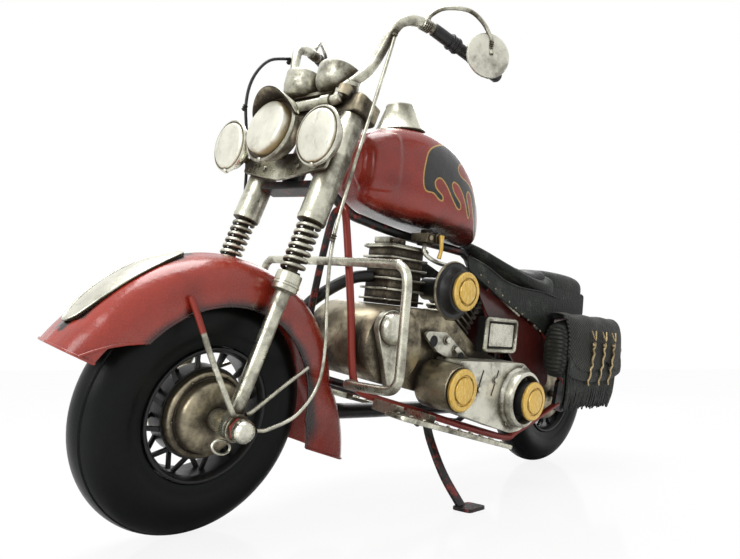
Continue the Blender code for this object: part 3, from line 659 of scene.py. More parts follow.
# ---- handlebar, grips, mirrors and cables ---------------------------------------------------
bar = [(-2.5, -36.0, 188.5), (-4.3, -33.2, 181.6), (-3.6, -28.0, 165.0), (-6.0, -24.4, 156.5),
       (-8.5, -22.0, 150.6), (-8.9, -20.0, 146.0), (-8.9, -17.3, 144.0)]
left_bar = [(32.0, -44.041, 199.043), (12.4, -39.7, 196.06), (4.5, -37.9, 193.6)] + bar
right_bar = [(x, -y, z) for x, y, z in reversed(left_bar)]
line = [Vector(p) for p in left_bar] + [Vector(p) for p in right_bar]
s = Shape().rod(line, 2.4, sides=20, per=5)
for side in (-1, 1):
    s.rod([(-8.9, side * 17.0, 144.0), (-8.9, side * 11.6, 143.8)], 3.1, sides=20)
    for x, y, z in ((-7.0, -23.4, 153.8), (-8.8, -20.9, 148.2)):
        s.hoop([(-0.9, 2.3), (-0.9, 3.0), (0.9, 3.0), (0.9, 2.3)], (x, -side * y, z),
               (-2.4, side * 2.4, 5.6), 24)
piece("bent_handlebar", "fork", s, SILVER, STEER, ("handlebar",))
CABLES = {
    "l": [(-5.4, -36.6, 181), (-1.6, -34.6, 160), (2.4, -33.6, 118), (6.4, -33.2, 86), (13, -33.4, 65),
          (23, -34.0, 42), (26.6, -34.4, 26), (21, -34.6, 12), (9.4, -34.8, 3.6), (4.3, -34.2, 1.6)],
    "r": [(-5.4, 36.6, 181), (-16, 36.8, 171), (-20, 36.6, 157), (-17.5, 36.6, 143), (-9, 36.2, 127),
          (-1, 35.2, 108), (6, 33.4, 84), (9.5, 33.5, 40), (7, 34.4, 18), (5.4, 34.6, 6)],
}
for tag, s1 in (("l", 1), ("r", -1)):
    start, end = Vector((12.4, -39.7 * s1, 196.06)), Vector((58.0, -49.8 * s1, 203.0))
    run = end - start
    along, reach = run.normalized(), run.length
    s = Shape()
    s.turn([(0, 2.45), (0.3, 3.0), (6, 3.1), (11, 3.05), (11.2, 2.75), (reach - 22, 2.75),
            (reach - 21, 3.0), (reach - 7, 3.1), (reach - 6, 3.0)], start, run, 24)
    for at, wide in ((11.5, 3.9), (13.7, 3.6), (15.4, 3.9), (reach - 16, 3.9), (reach - 12.5, 4.0),
                     (reach - 9.2, 4.0), (reach - 6.2, 3.8)):
        s.turn([(-1.2, 2.6), (-0.9, wide - 0.3), (0, wide), (0.9, wide - 0.3), (1.2, 2.6)],
               start + along * at, run, 24)
    s.turn([(reach - 6, 2.7), (reach - 5, 3.1), (reach - 1.2, 3.2), (reach, 2.5), (reach + 0.1, 0.2)],
           start, run, 24, m=1)
    piece("hand_grip_" + tag, "fork", s, (BLACK, RED_BLACK), STEER, ("grip_" + tag,))
    s = Shape()
    knot = [Vector((8.0, -38.9 * s1, 198.3)), Vector((4.6, -37.9 * s1, 193.8))]
    for k in range(5):
        s.hoop([(-0.5, 2.35), (0.0, 2.9), (0.5, 2.35)], Vector((6.0 + 1.05 * k, 0, 0)) +
               Vector((0, -(38.2 + 0.23 * k) * s1, 194.1 + 0.3 * k)), run, 20)
    wire = [(8.0, -38.9, 197.3), (8.4, -39.5, 201), (12, -43, 207), (20, -50, 211), (27.5, -54.2, 209.6),
            (33.2, -57.2, 204.5), (35.2, -57.4, 200.6), (35.8, -58.4, 197.0)]
    s.rod([(x, y * s1, z) for x, y, z in wire], 1.0, sides=10)
    for k in range(4):
        s.hoop([(-0.45, 0.9), (0.0, 1.5), (0.45, 0.9)], (34.2 + 0.3 * k, -57.3 * s1, 203.0 - 1.0 * k),
               (0.3, 0, -1), 14)
    disc, way = Vector((35.5, -57.0 * s1, 196.5)), (0.55, 0.8 * s1, 0.1)
    s.turn([(-1.0, 0), (-1.0, 9.7), (-0.5, 10.8), (0.4, 11.0), (0.9, 10.7), (0.9, 9.9), (0.4, 9.5),
            (0.4, 0)], disc, way, 48, m=1)
    piece("mirror_disc_" + tag, "fork", s, (SILVER, PLATE), STEER, ("mirror_" + tag,))
    cable = CABLES[tag]
    s = Shape().rod(cable, 0.8, sides=10, per=8)
    for x, y, z in (cable[0], cable[3]):
        for k in range(3):
            s.hoop([(-0.5, 0.8), (0, 1.35), (0.5, 0.8)], (x, y, z - 0.6 - 1.1 * k), (0, 0, 1), 12)
    piece("cable_wire_" + tag, "fork", s, SILVER if s1 > 0 else BLACK, STEER, ("cable_" + tag,))

# ---- lamps and gauges -----------------------------------------------------------------------
def lamp(name, node, centre, way, radius, depth, back, hood=False):
    """A spun bowl with a rolled rim, a pressed lens and a stud at its back."""
    c, d = Vector(centre), Vector(way).normalized()
    s = Shape()
    s.turn([(-depth, 0.5), (-depth, 3.2), (-depth + 1.2, 4.6), (-depth * 0.72, radius * 0.66),
            (-depth * 0.45, radius * 0.88), (-depth * 0.22, radius * 0.97), (-0.8, radius * 1.0),
            (-0.7, radius * 1.06), (0.2, radius * 1.09), (0.9, radius * 1.06), (1.0, radius * 1.01),
            (0.4, radius * 0.985), (-0.1, radius * 0.96)], c, d, 64)
    lens, proud = (radius * 0.86, 2.6) if hood else (radius * 0.95, 0.4)
    s.turn([(-0.3, lens * 1.01), (0.5 + proud, lens), (1.2 + proud, lens * 0.96),
            (1.6 + proud, lens * 0.86), (1.9 + proud, lens * 0.5), (2.0 + proud, 0)], c, d, 64, m=1)
    if not hood:
        s.hoop([(0.2, radius * 0.955), (0.9, radius * 0.955), (0.9, radius * 0.985),
                (0.2, radius * 0.985)], c, d, 64, m=2)
    s.turn([(-depth - 1.0, 0), (-depth - 1.0, 2.4), (-depth + 1, 2.8), (-depth + 1, 0)], c, d, 20)
    s.rod([c - d * (depth - 2), Vector(back)], 1.7, sides=14)
    side = d.cross(UP).normalized()
    over = side.cross(d)
    low = c - over * radius * 1.02
    s.stud(low + d * 0.3, -over, 1.5, 1.4)
    if hood:
        for lift, m in ((0.0, 0), (-0.45, 2)):
            rings = []
            for k in range(33):
                a = math.radians(24 + 132 * k / 32)
                ray = math.cos(a) * side + math.sin(a) * over
                out = 7.6 * math.sin(math.radians(180 * k / 32)) ** 0.8
                r0 = radius * 1.075 + lift
                rings.append([c + (r0 + 0.1) * ray - d * 1.2, c + (r0 + 0.9) * ray - d * 1.2,
                              c + (r0 + 1.3) * ray + d * (0.6 + out),
                              c + (r0 + 1.0) * ray + d * (1.2 + out),
                              c + (r0 + 0.6) * ray + d * (0.6 + out)])
            s.skin(rings, m)
    piece(name, "fork", s, (CLEAN if not hood else SILVER, LENS, BROWN), STEER, (node,))


lamp("headlamp_bowl", "headlamp", (-21.0, 0, 122.0), (-0.995, 0, -0.10), 14.2, 12.0,
     (-10.4, 0, 114.0), True)
for tag, side in SIDES:
    lamp("spot_bowl_" + tag, "spot_lamp_" + tag, (-18.8, side * 31.0, 117.6), (-0.963, 0, -0.27),
         11.7, 8.6, (-10.4, side * 26.5, 114.5))
s = Shape()
plate = rounded([(-29, 109.5), (0, 104.5), (29, 109.5), (29, 118.0), (-29, 118.0)], 2.0, 3, True)
s.skin([[(x, y, z) for y, z in plate] for x in (-8.3, -6.9)])
for y in (-24, -12, 12, 24):
    s.bolt((-8.3, y, 110.5), (-1, 0, 0), 1.1, 1.0)
piece("lamp_plate", "fork", s, SILVER, STEER, ("lamp_bar",), bevel=0.3)
s = Shape().block((-8.0, -13.5, 149.8), (-3.0, 13.5, 151.6))
for side in (-1, 1):
    at = (2.0, side * 11.6, 0)
    s.turn([(151.0, 0), (151.0, 6.2), (151.6, 8.0), (153.0, 9.4), (155.0, 10.1), (158.4, 10.4),
            (161.4, 10.7), (162.0, 10.5), (162.1, 9.9), (161.3, 9.6), (160.4, 9.4)], at,
           (-0.05, 0, 1), 56)
    s.turn([(160.0, 9.5), (160.5, 9.3), (160.8, 8.2), (160.9, 0)], at, (-0.05, 0, 1), 40, m=1)
    s.turn([(160.7, 1.0), (161.3, 0.9), (161.4, 0)], at, (-0.05, 0, 1), 12)
piece("gauge_cups", "fork", s, (SILVER, PIT), STEER, ("gauge_pair",))


# ---- mudguards ------------------------------------------------------------------------------
def guard_shell(radius, half, start, end, flare, skirt, steps, crest=0.0):
    """A deep valanced mudguard with a rolled edge; angles from straight up, forward first."""
    s = Shape()
    rings, edge = [], ([], [])
    for i in range(steps):
        ang = start + (end - start) * i / (steps - 1)
        a = math.radians(90 + ang)
        top, low = radius + flare(ang), skirt(ang)
        section = [(half, low), (half + 0.15, low + (top - 10 - low) * 0.5), (half, top - 10),
                   (half - 0.7, top - 7.0), (half - 2.2, top - 4.4), (half - 4.4, top - 2.4),
                   (half - 7.4, top - 1.1), (half * 0.32, top - 0.35), (1.4, top),
                   (0, top + crest)]
        outer = section + [(-y, q) for y, q in reversed(section[:-1])]
        inner = [(y * (half - 0.9) / half, q - (0.9 if q > low + 0.1 else 0)) for y, q in outer]
        rings.append([Vector((q * math.cos(a), y, q * math.sin(a)))
                      for y, q in outer + list(reversed(inner))])
        for k, side in enumerate((-1, 1)):
            edge[k].append(Vector((low * math.cos(a), side * (half - 0.2), low * math.sin(a))))
    s.skin(rings)
    for k in (0, 1):
        s.rod(edge[k], 0.62, sides=8, per=0)
    for ring in (rings[0], rings[-1]):
        s.rod(ring[:len(outer)], 0.55, sides=8, per=0)
    return s


def front_flare(ang):
    return (ang - 55) * 0.16 if ang > 55 else (-80 - ang) * 0.62 if ang < -80 else 0


def front_skirt(ang):
    if ang > 48:
        return 45.5 + (ang - 48) * 0.95
    return 45.5 + (-95 - ang) * 0.35 if ang < -95 else 45.5


BADGE_START, BADGE_SPAN, BADGE_HALF = 58.0, 43.0, 8.2


def front_shade(p):
    """Airbrushed shade: below the crease, round the badge and along the tail."""
    ang = math.degrees(math.atan2(p.z, p.x)) - 90
    if ang < -180:
        ang += 360
    r = math.hypot(p.x, p.z)
    t = (ang - (BADGE_START - BADGE_SPAN / 2)) / (BADGE_SPAN / 2)
    out = math.hypot(t, p.y / BADGE_HALF)
    shade = 0.0
    if abs(p.y) < 15.5:
        wave = 0.075 * abs(math.sin(9.0 * math.atan2(p.y / BADGE_HALF, t)))
        shade = 1.2 * (1 - min(1, max(0, (out - 1.08 - wave) / 0.06)))
    low = max(0.0, 1 - (r - 46) / 9.0) if r < 60 else 0
    back = max(0.0, (-30 - ang) / 60) * max(0, 1 - (r - 46) / 22)
    return max(shade, 0.75 * low * low + 0.40 * back)


shell = piece("front_mudguard", "fork", guard_shell(65.0, 17.5, 65.5, -109.5, front_flare, front_skirt,
              150, 0.35), RED, FENDER, ("front_fender",), angle=50)
store(shell, "shade", front_shade)
shell = piece("rear_mudguard", "chassis", guard_shell(63.0, 16.0, 62, -84, lambda a: 0,
              lambda a: 51.5, 90), RED, REAR, ("rear_fender",), angle=50)
store(shell, "shade", lambda p: 0.25 + 0.5 * max(0.0, min(1.0, (p.x * -1 + 12) / 50)))

s = Shape()
rings = []
for i in range(41):
    t = i / 40
    a = math.radians(90 + BADGE_START - BADGE_SPAN * t)
    w = BADGE_HALF * math.sqrt(max(0.004, 1 - (2 * t - 1) ** 2))
    base = 65.0 + max(0.0, (BADGE_START - BADGE_SPAN * t - 55) * 0.16) + 0.2
    ring = []
    for k in range(13):
        u = -1 + 2 * k / 12
        ring.append((u * w, base + 0.9 - 1.15 * (u * w / BADGE_HALF) ** 2 + 0.35 * (1 - u * u)))
    ring += [(y, q - 1.5) for y, q in reversed(ring)]
    rings.append([Vector((q * math.cos(a), y, q * math.sin(a))) for y, q in ring])
s.skin(rings)
rim = []
for k in range(72):
    b = 2 * math.pi * k / 72
    t, u = math.cos(b), math.sin(b)
    a = math.radians(90 + BADGE_START - BADGE_SPAN * (t + 1) / 2)
    base = 65.0 + max(0.0, (BADGE_START - BADGE_SPAN * (t + 1) / 2 - 55) * 0.16) + 1.05
    q = base - 1.15 * u * u
    rim.append(Vector((q * math.cos(a), u * BADGE_HALF, q * math.sin(a))))
s.sweep(rim, [(0.55 * math.cos(math.pi * k / 4), 0.55 * math.sin(math.pi * k / 4))
              for k in range(8)], loop=True)
s.stud(rim[0] * 0.985, (-1, 0, 0.4), 0.9, 0.8)
piece("oval_plate", "fork", s, PLATE, FENDER, ("fender_badge",), angle=60)

for tag, side in SIDES:
    y = side * 18.9
    s = Shape()
    s.rod([(-21.6, y, 48.0), (-20.0, y + side * 0.6, 45.0), (-15.9, side * 21.5, 35.2)],
          [0.9, 1.25, 1.2], m=1, sides=12)
    s.rod([(-15.9, side * 21.5, 35.2), (-11.5, side * 23.6, 24.6), (-3.0, side * 27.6, 6.6),
           (-1.0, side * 27.9, 4.6)], 1.15, sides=12)
    s.rod([(3.4, side * 27.9, 4.9), (6.5, side * 27.5, 5.8), (22, side * 23.4, 12.6),
           (40.5, y, 20.5)], 0.95, sides=12)
    s.hoop(rounded([(26.95, 2.3), (26.95, 5.4), (28.65, 5.4), (28.65, 2.3)], 0.3, 2, True),
           axis=(0, side, 0), steps=40)
    piece("fender_strut_" + tag, "fork", s, (SILVER, RED_STAVE), FENDER, ("fender_stay_" + tag,))

# ---- frame, crash bar, stand, exhaust -------------------------------------------------------
def steer_point(along):
    return Vector((FRONT_X + along * math.sin(RAKE), 0, TYRE_R + along * math.cos(RAKE)))


s = Shape()
axis_dir = (math.sin(RAKE), 0, math.cos(RAKE))
s.hoop(rounded([(107.6, 3.2), (107.6, 5.2), (110, 5.2), (110, 4.7), (137, 4.7), (137, 5.2),
                (139.4, 5.2), (139.4, 3.2)], 0.3, 2, True), (FRONT_X, 0, TYRE_R), axis_dir, 36)
p = steer_point(121)
s.rod([(p[0] + 3.5, 0, p[2] - 1), (-66, 0, 147), (-50, 0, 143.2), (-20, 0, 140.4), (25, 0, 138.7),
       (32, 0, 137.2), (62, 0, 122), (75, 0, 108), (78, 0, 92), (78, 0, 60)], 2.5, sides=16)
for side in (-1, 1):
    s.rod([(-68, side * 1, 147.4), (-69, side * 6.0, 140), (-68, side * 15, 101),
           (-66.5, side * 20, 70), (-63, side * 20.6, 62), (-54, side * 21, 57),
           (-20, side * 21, 48.3), (58, side * 21, 28.5), (78, side * 21, 31),
           (124, side * 21, 46)], 1.9, m=1 if side < 0 else 0, sides=14)
    s.rod([(66, side * 2, 119), (80, side * 17, 112), (92, side * 21, 100), (127, side * 21, 60)],
          1.9, sides=14, m=1)
    s.rod([(78, 0, 63), (78, side * 21, 31.5)], 1.9, sides=12)
    s.slab([(118, 42), (128, 40), (143, 43), (146, 50), (143, 57), (128, 64), (121, 62)],
           side * 19.6, side * 22.4, soft=2.0)
s.rod([(56, -21, 29), (56, 21, 29)], 1.9)
s.rod([(-60, -20.8, 60.4), (-60, 20.8, 60.4)], 1.9)
s.turn([(-6.0, 0), (-6.0, 3.0), (-2.7, 3.0), (-2.7, 0)], (-21, -27.2, 47.2), (0.155, -0.765, 0.626))
s.rod([(-21.4, -21, 48.4), (-21.9, -23.0, 43.9)], 1.6)
piece("tube_frame", "chassis", s, (RED_BLACK, RED_STAVE), BIKE, ("frame",))

loop = [(-66.4, -21.5, 63.7), (-70.4, -22.7, 63.8), (-73.4, -27, 64.3), (-74, -40, 65.3),
        (-74, -50, 66.2), (-74, -55, 67.6), (-74, -57.6, 71.2), (-74, -58, 76), (-74, -57.3, 100),
        (-74, -56.9, 110), (-74, -55.4, 115.8), (-74, -51.5, 118.9), (-74, -46, 119.5)]
loop = loop + [(-74, 0, 119.7)] + [(x, -y, z) for x, y, z in reversed(loop)]
piece("crash_bar", "chassis", Shape().rod(loop, 2.1, sides=18, per=5), SILVER, BIKE,
      ("engine_guard",))

to_ground = (Matrix.Translation(lean_point) @ Matrix.Rotation(-LEAN, 4, "X")
             @ Matrix.Translation(-lean_point))
s = Shape()
path = spline([(-21, -28.4, 46.4), (-20.6, -33, 36), (-19.6, -42.5, 22), (-16.5, -53.0, 9.4)], 8)
flat = rounded([(-2.4, -1.0), (2.4, -1.0), (2.4, 1.0), (-2.4, 1.0)], 0.4, 2, True)
s.sweep(path, flat, up=(0, -1, 0.3))
s.turn([(-2.0, 0), (-2.0, 3.0), (1.0, 3.0), (1.0, 0)], (-21, -27.2, 47.2), (0.155, -0.765, 0.626), 24)
s.bolt(Vector((-21, -27.2, 47.2)) + Vector((0.155, -0.765, 0.626)) * 0.9, (0.155, -0.765, 0.626),
       1.7, 1.6)
s.at = to_ground
s.skin([[(x, y, z) for x, y in rounded([(-22, -61), (-9, -61), (-9, -50), (-22, -50)], 2.5, 4, True)]
        for z in (0.02, 1.6)])
piece("stand_leg", "side_stand", s, RED_BLACK, BIKE, ("side_stand",), bevel=0.2)

s = Shape()
s.rod([(-44, 28.4, 40), (-58, 28.6, 44), (-65, 29, 56), (-69, 27.5, 84), (-66, 22, 97),
       (-58, 13, 107.5), (-49, 7, 114), (-40.2, 3, 116)], 3.2, sides=20)
s.rod([(-45, 28.4, 42), (-34, 28, 38), (96, 28, 35), (102, 28, 35)], [3.4, 4.4, 4.4, 3.4], sides=24,
      per=4)
s.hoop([(-1, 3.1), (-1, 4.0), (1, 4.0), (1, 3.1)], (-67.6, 28.2, 68), (-0.12, 0, 1), 30)
piece("exhaust_pipe", "chassis", s, BLACK, BIKE, ("exhaust",))

# ---- engine ---------------------------------------------------------------------------------
s = Shape()
s.turn([(-25, 0), (-25, 17.2), (-24.2, 18.9), (-23, 19.5), (23, 19.5), (24.2, 18.9), (25, 17.2),
        (25, 0)], (-44.5, 0, 82), steps=72)
s.slab([(-40, 62.4), (50, 43), (60, 50), (56, 74), (27.5, 82.8), (6.0, 96.8), (-2, 97), (-9, 101.6),
        (-40, 101.6)], -19.0, 19.0)
piece("crankcase_tin", "chassis", s, BROWN, BIKE, ("crankcase",), bevel=0.7)
tear = [(-46.8, 60.5), (-44.8, 62.5), (-44.0, 88)]
tear += [(-52 + 9.2 * math.cos(math.radians(a)), 90.5 + 9.2 * math.sin(math.radians(a)))
         for a in range(-8, 190, 12)] + [(-55.5, 75), (-51.0, 62)]
s = Shape().slab(tear, -25.3, -29)
s.turn([(-28.6, 8.0), (-29.8, 8.0), (-31.2, 7.5), (-32.8, 6.5), (-34.2, 4.6), (-35.0, 2.4),
        (-35.2, 0)], (-52, 0, 91), steps=48, m=1)
piece("timing_plate", "chassis", s, (SILVER, CLEAN), BIKE, ("timing_cover",),
      bevel=0.6)


def barrel(name, node, base, tilt, half, high, fins):
    """A square finned barrel: thin plates on a smooth core."""
    s = Shape()
    s.at = Matrix.Translation(Vector(base)) @ Matrix.Rotation(math.radians(tilt), 4, "Y")
    x, y = half
    core = rounded([(-x + 2.2, -y + 2.2), (x - 2.2, -y + 2.2), (x - 2.2, y - 2.2),
                    (-x + 2.2, y - 2.2)], 2.0, 4, True)
    plate = rounded([(-x, -y), (x, -y), (x, y), (-x, y)], 2.6, 5, True)
    s.skin([[(a, b, z) for a, b in core] for z in (0, high - 0.5)], m=1)
    for i in range(fins):
        z = 1.8 + (high - 4.2) * i / (fins - 1)
        s.skin([[(a * k, b * k, z + dz) for a, b in plate]
                for dz, k in ((0, 0.985), (0.25, 1.0), (0.95, 1.0), (1.2, 0.985))])
    s.skin([[(a * k, b * k, z) for a, b in plate] for z, k in ((high - 2.8, 0.9), (high - 2.2, 0.96),
           (high - 0.6, 0.96), (high, 0.88))])
    if tilt == 0:
        s.block((-11.5, -6, high - 2), (0.5, 6, high + 3.4))
        for a, b in ((-9, -6), (-3, -6)):
            s.bolt((a, b, high + 1), (0, -1, 0), 1.4, 1.3)
    return piece(name, "chassis", s, (SILVER, BROWN), BIKE, (node,), bevel=0.15)


barrel("front_barrel", "cylinder_front", (-27.0, 0, 101.9), 0, (14.4, 12.0), 32.2, 6)
barrel("rear_barrel", "cylinder_rear", (16.95, 0, 90.2), 33, (11.5, 11.4), 35.0, 9)
s = Shape()
s.turn([(-32.4, 0), (-32.4, 10.2), (-31.8, 11.2), (-27.4, 11.9), (-26.2, 12.8), (-25.8, 15.0),
        (-25.0, 15.6), (-24.2, 15.0), (-24.0, 6.3), (-5, 6.3), (-5, 0)], (-5.6, 0, 113), steps=64)
piece("air_drum", "chassis", s, BLACK, BIKE, ("air_cleaner",))
s = Shape().hoop([(-25.9, 14.9), (-26.3, 15.4), (-25.5, 16.0), (-24.6, 15.6)], (-5.6, 0, 113),
                 steps=64)
piece("air_drum_rim", "chassis", s, BROWN, BIKE)
for name, node, x, y0, z, r in (("air_disc", "air_cleaner_disc", -5.6, -32.7, 113, 10.3),
                                ("front_disc", "primary_disc_front", -9.4, -39.9, 62.6, 11.0),
                                ("rear_disc", "primary_disc_rear", 48.0, -46.3, 56.0, 11.0)):
    s = Shape().turn([(0, 0), (0, r - 0.3), (-0.4, r), (-1.5, r), (-2.2, r - 0.7), (-2.3, r * 0.74),
                      (-1.7, r * 0.70), (-1.7, r * 0.64), (-2.6, r * 0.60), (-2.9, r * 0.5),
                      (-2.9, r * 0.2), (-3.1, r * 0.1), (-3.1, 0)], (x, y0, z), steps=64)
    piece(name, "chassis", s, GOLD, BIKE, (node,))
s = Shape()
cover = [(-8, 50.0), (44, 35.6), (56, 36.5), (64, 44), (66, 58), (62, 70), (52, 76), (-8, 77)]
s.slab(cover, -19.3, -36.5, soft=3.0)
s.turn([(-36.6, 11.4), (-38.2, 11.3), (-38.6, 11.9), (-39.4, 11.6), (-39.6, 10.6), (-39.6, 0)],
       (-9.4, 0, 62.6), steps=48, m=2)
s.turn([(-36.4, 10.4), (-45.4, 10.2), (-46.0, 9.6), (-46.0, 0)], (48, 0, 56), steps=48, m=1)
s.turn([(-36.6, 9), (-37.6, 13.2), (-37.9, 13.0), (-37.9, 9)], (48, 0, 56), steps=48, m=1)
for x, z in ((9.5, 62), (24, 66.5), (50, 73.2), (59.5, 46), (38, 42)):
    s.bolt((x, -36.4, z), (0, -1, 0), 1.5, 1.7)
for a in (75, 195, 315):
    s.bolt((48 + 11.9 * math.cos(math.radians(a)), -37.8, 56 + 11.9 * math.sin(math.radians(a))),
           (0, -1, 0), 1.2, 1.6)
plate = [(-24.3, 88), (-22, 90.5), (-8, 90.5), (2, 84), (15, 75.4), (-2, 75.4), (-14, 80)]
s.slab(plate, -23.4, -25.5, soft=1.5)
for x, z in ((-7.4, 86.4), (0.4, 81.4)):
    s.bolt((x, -25.4, z), (0, -1, 0), 1.9, 2.2)
for x, z, r in ((-17.5, 85.5, 3.0), (6, 77.6, 2.6)):
    s.turn([(-25.62, 0), (-25.62, r), (-25.3, r), (-25.3, 0)], (x, 0, z), steps=24, m=1)
s.turn([(-19.3, 0), (-19.3, 12.6), (-30, 12.6), (-34.5, 12.2), (-38.6, 11.7), (-38.6, 0)],
       (-9.9, 0, 62.8), steps=48, m=2)
for x, x1 in ((8, 22), (22, 34)):
    s.rod([(x, -36.5, 58), (x + 5, -36.5, 72)], 0.35, m=1, per=0)
ring = Shape().hoop([(-36.0, 9.0), (-37.4, 9.4), (-37.6, 13.0), (-42.6, 13.4), (-43.3, 14.0),
                     (-43.3, 15.0), (-42.6, 15.9), (-41.0, 16.3), (-38.6, 16.4), (-37.8, 17.3),
                     (-36.0, 17.8)], (48, 0, 56), steps=96)
piece("primary_boss", "chassis", ring, PLATE, BIKE)
piece("primary_case", "chassis", s, (PLATE, PIT, BROWN), BIKE, ("primary_cover",), bevel=0.8)
s = Shape()
s.block((26, -25.0, 80.4), (58, -19.6, 101), m=1)
ring = [(27.2, 81.6), (56.8, 81.6), (56.8, 99.8), (27.2, 99.8)]
s.sweep([(x, -25.3, z) for x, z in rounded(ring, 2.0, 4, True)],
        [(math.cos(math.pi * k / 3) * 1.5, math.sin(math.pi * k / 3) * 1.5) for k in range(6)],
        m=3, loop=True)
s.slab([(30, 84.0), (54, 84.0), (54, 97.6), (30, 97.6)], -25.0, -25.9, m=2, soft=1.2)
piece("battery_frame", "chassis", s, (BLACK, PIT, CLEAN, SILVER), BIKE, ("battery_box",),
      bevel=0.3)
s = Shape().block((-22, -17, 137.2), (-10, -5, 142.1))
s.turn([(-18.2, 0), (-18.2, 3.0), (-12, 3.3), (-12, 0)], (-13.3, 0, 140), steps=28)
s.turn([(136, 0), (136, 4.2), (138, 4.6), (141, 3.2), (144.4, 2.6), (144.4, 0)], (-16, -10, 0), UP, 28)
s.bolt((-20, -17, 139.5), (0, -1, 0), 1.6, 1.6)
piece("tap_body", "chassis", s, BROWN, BIKE, ("fuel_tap",), bevel=0.5)
s = Shape().rod([(-13.3, -19.2, 141.6), (-13.2, -19.4, 138), (-12.8, -19.6, 134), (-13.5, -19.2, 129.2)],
                [1.7, 1.3, 1.0, 1.2], sides=12)
piece("tap_handle", "tap_lever", s, GOLD, BIKE, ("tap_lever",))
pipe = [(-19, -13, 136.6), (-19, -14, 131), (-10, -18, 126.8), (14, -19.5, 126.5), (30, -20.0, 123),
        (46, -21, 112.5), (63, -22.4, 104.0)]
piece("bent_pipe", "chassis", Shape().rod(pipe, 1.15, sides=12), CLEAN, BIKE, ("fuel_pipe",))

# ---- tank, console, cap ---------------------------------------------------------------------
stations = [(-63.5, 182, 158, 9), (-61, 186, 152, 15), (-50, 192, 148.6, 20.5), (-32, 195.5, 146, 25),
            (-12, 193, 145, 26), (3, 184, 143.4, 24.5), (14, 171.5, 142.4, 20), (22.5, 159, 141.6, 14),
            (27.5, 150.5, 141.6, 7)]
FLAMES = flat_spline([(-14, 190.8), (-24.9, 187.8), (-33.4, 182.7), (-36.6, 174.5), (-36.9, 166.0),
                  (-34.6, 161.4), (-29.6, 161.2), (-25.5, 159.0), (-22.2, 158.4), (-22.9, 161.0),
                  (-27.8, 163.6), (-29.5, 167.2), (-26.0, 169.7), (-21.1, 166.8), (-15.4, 161.0),
                  (-9.6, 156.8), (-7.2, 157.4), (-8.6, 160.2), (-13.5, 163.5), (-16.7, 167.4),
                  (-15.6, 169.9), (-11.2, 168.6), (-6.4, 164.0), (-1.8, 157.4), (1.6, 153.6),
                  (1.8, 155.8), (-1.2, 160.6), (-3.6, 165.0), (-2.6, 167.6), (0.6, 165.6),
                  (6.0, 156.4), (12, 150.4), (18.9, 146.0), (19.6, 147.6), (13.4, 154.6), (8.6, 162.4),
                  (2.8, 169.1), (-4.0, 172.6), (-10.2, 174.6), (-11.8, 178.4), (-8.4, 181.6),
                  (-2.4, 181.0), (3.0, 176.4), (4.2, 180.4), (-2.0, 187.0)])


def flame_distance(x, z):
    """Signed distance from the flames' outline, in millimetres; negative inside."""
    best, inside = 1e9, False
    for (x0, z0), (x1, z1) in zip(FLAMES, FLAMES[1:] + FLAMES[:1]):
        dx, dz = x1 - x0, z1 - z0
        t = max(0, min(1, ((x - x0) * dx + (z - z0) * dz) / (dx * dx + dz * dz)))
        best = min(best, math.hypot(x - x0 - t * dx, z - z0 - t * dz))
        if (z0 > z) != (z1 > z) and x < dx * (z - z0) / dz + x0:
            inside = not inside
    return -best if inside else best


def front_panel(x, y, z):
    """1 on the raised panel at each side of the tank's nose, 0 off it."""
    far = max(x + 49.5, 156.5 - z, z - 187.5, 5.0 - abs(y))
    if x + 49.5 > -6 and 156.5 - z > -6:
        far = math.hypot(x + 55.5, 162.5 - z) - 6
    return max(0.0, min(1.0, -far / 0.9))


station_curves = [spline([Vector((p[0], p[k], 0)) for p in stations], 14) for k in (1, 2, 3)]
rings = []
for top, low, half in zip(*station_curves):
    x, top, low, half = top.x, top.y, low.y, half.y
    mid = low + (top - low) * 0.42
    ring = []
    for k in range(160):
        c, sn = math.cos(math.pi * k / 80), math.sin(math.pi * k / 80)
        y = half * math.copysign(abs(c) ** 0.62, c)
        z = math.copysign(abs(sn) ** 0.8, sn)
        z = mid + z * ((top - mid) if z > 0 else (mid - low))
        out = 1.2 * front_panel(x, y, z)
        ring.append((x - out * 0.5, y + math.copysign(out, y), z))
    rings.append(ring)
first, last = rings[0], rings[-1]
for ring, way in ((first, -1), (last, 1)):
    centre = sum((Vector(p) for p in ring), Vector()) / len(ring)
    caps = [[centre + (Vector(p) - centre) * k + Vector((way * d, 0, 0)) for p in ring]
            for k, d in ((0.9, 0.6), (0.7, 1.0), (0.35, 1.2), (0.02, 1.2))]
    rings = caps[::-1] + rings if way < 0 else rings + caps
tank = piece("fuel_tank", "chassis", Shape().skin(rings), FLAME_RED, BIKE, ("tank",),
             angle=70)
store(tank, "shade", lambda p: max(0.0, min(1.0, (157 - p.z) / 10)) * 0.80
      + front_panel(p.x, p.y, p.z) * 0.34)
store(tank, "flame_reach", lambda p: flame_distance(p.x, p.z) if abs(p.y) > 3 else 9.0)
s = Shape().turn([(0.0, 0), (0.0, 13.6), (0.8, 14.0), (1.6, 13.6), (2.0, 13.1), (13.6, 7.4),
                  (14.2, 7.5), (15.0, 7.1), (15.0, 6.4), (14.4, 5.8), (14.2, 0)], (-34.5, 0, 194.2),
                 (-0.14, 0, 1), 64)
piece("tank_console", "chassis", s, SILVER, BIKE, ("console",))
s = Shape().turn([(0, 0), (0, 4.0), (0.6, 4.9), (1.2, 4.9), (1.6, 4.3), (3.0, 4.3), (3.8, 3.4),
                  (4.0, 0)], (-9.5, 0, 192.6), (0.22, 0, 1), 40)
piece("tank_cap", "chassis", s, DEEP_RED, BIKE, ("filler_cap",))


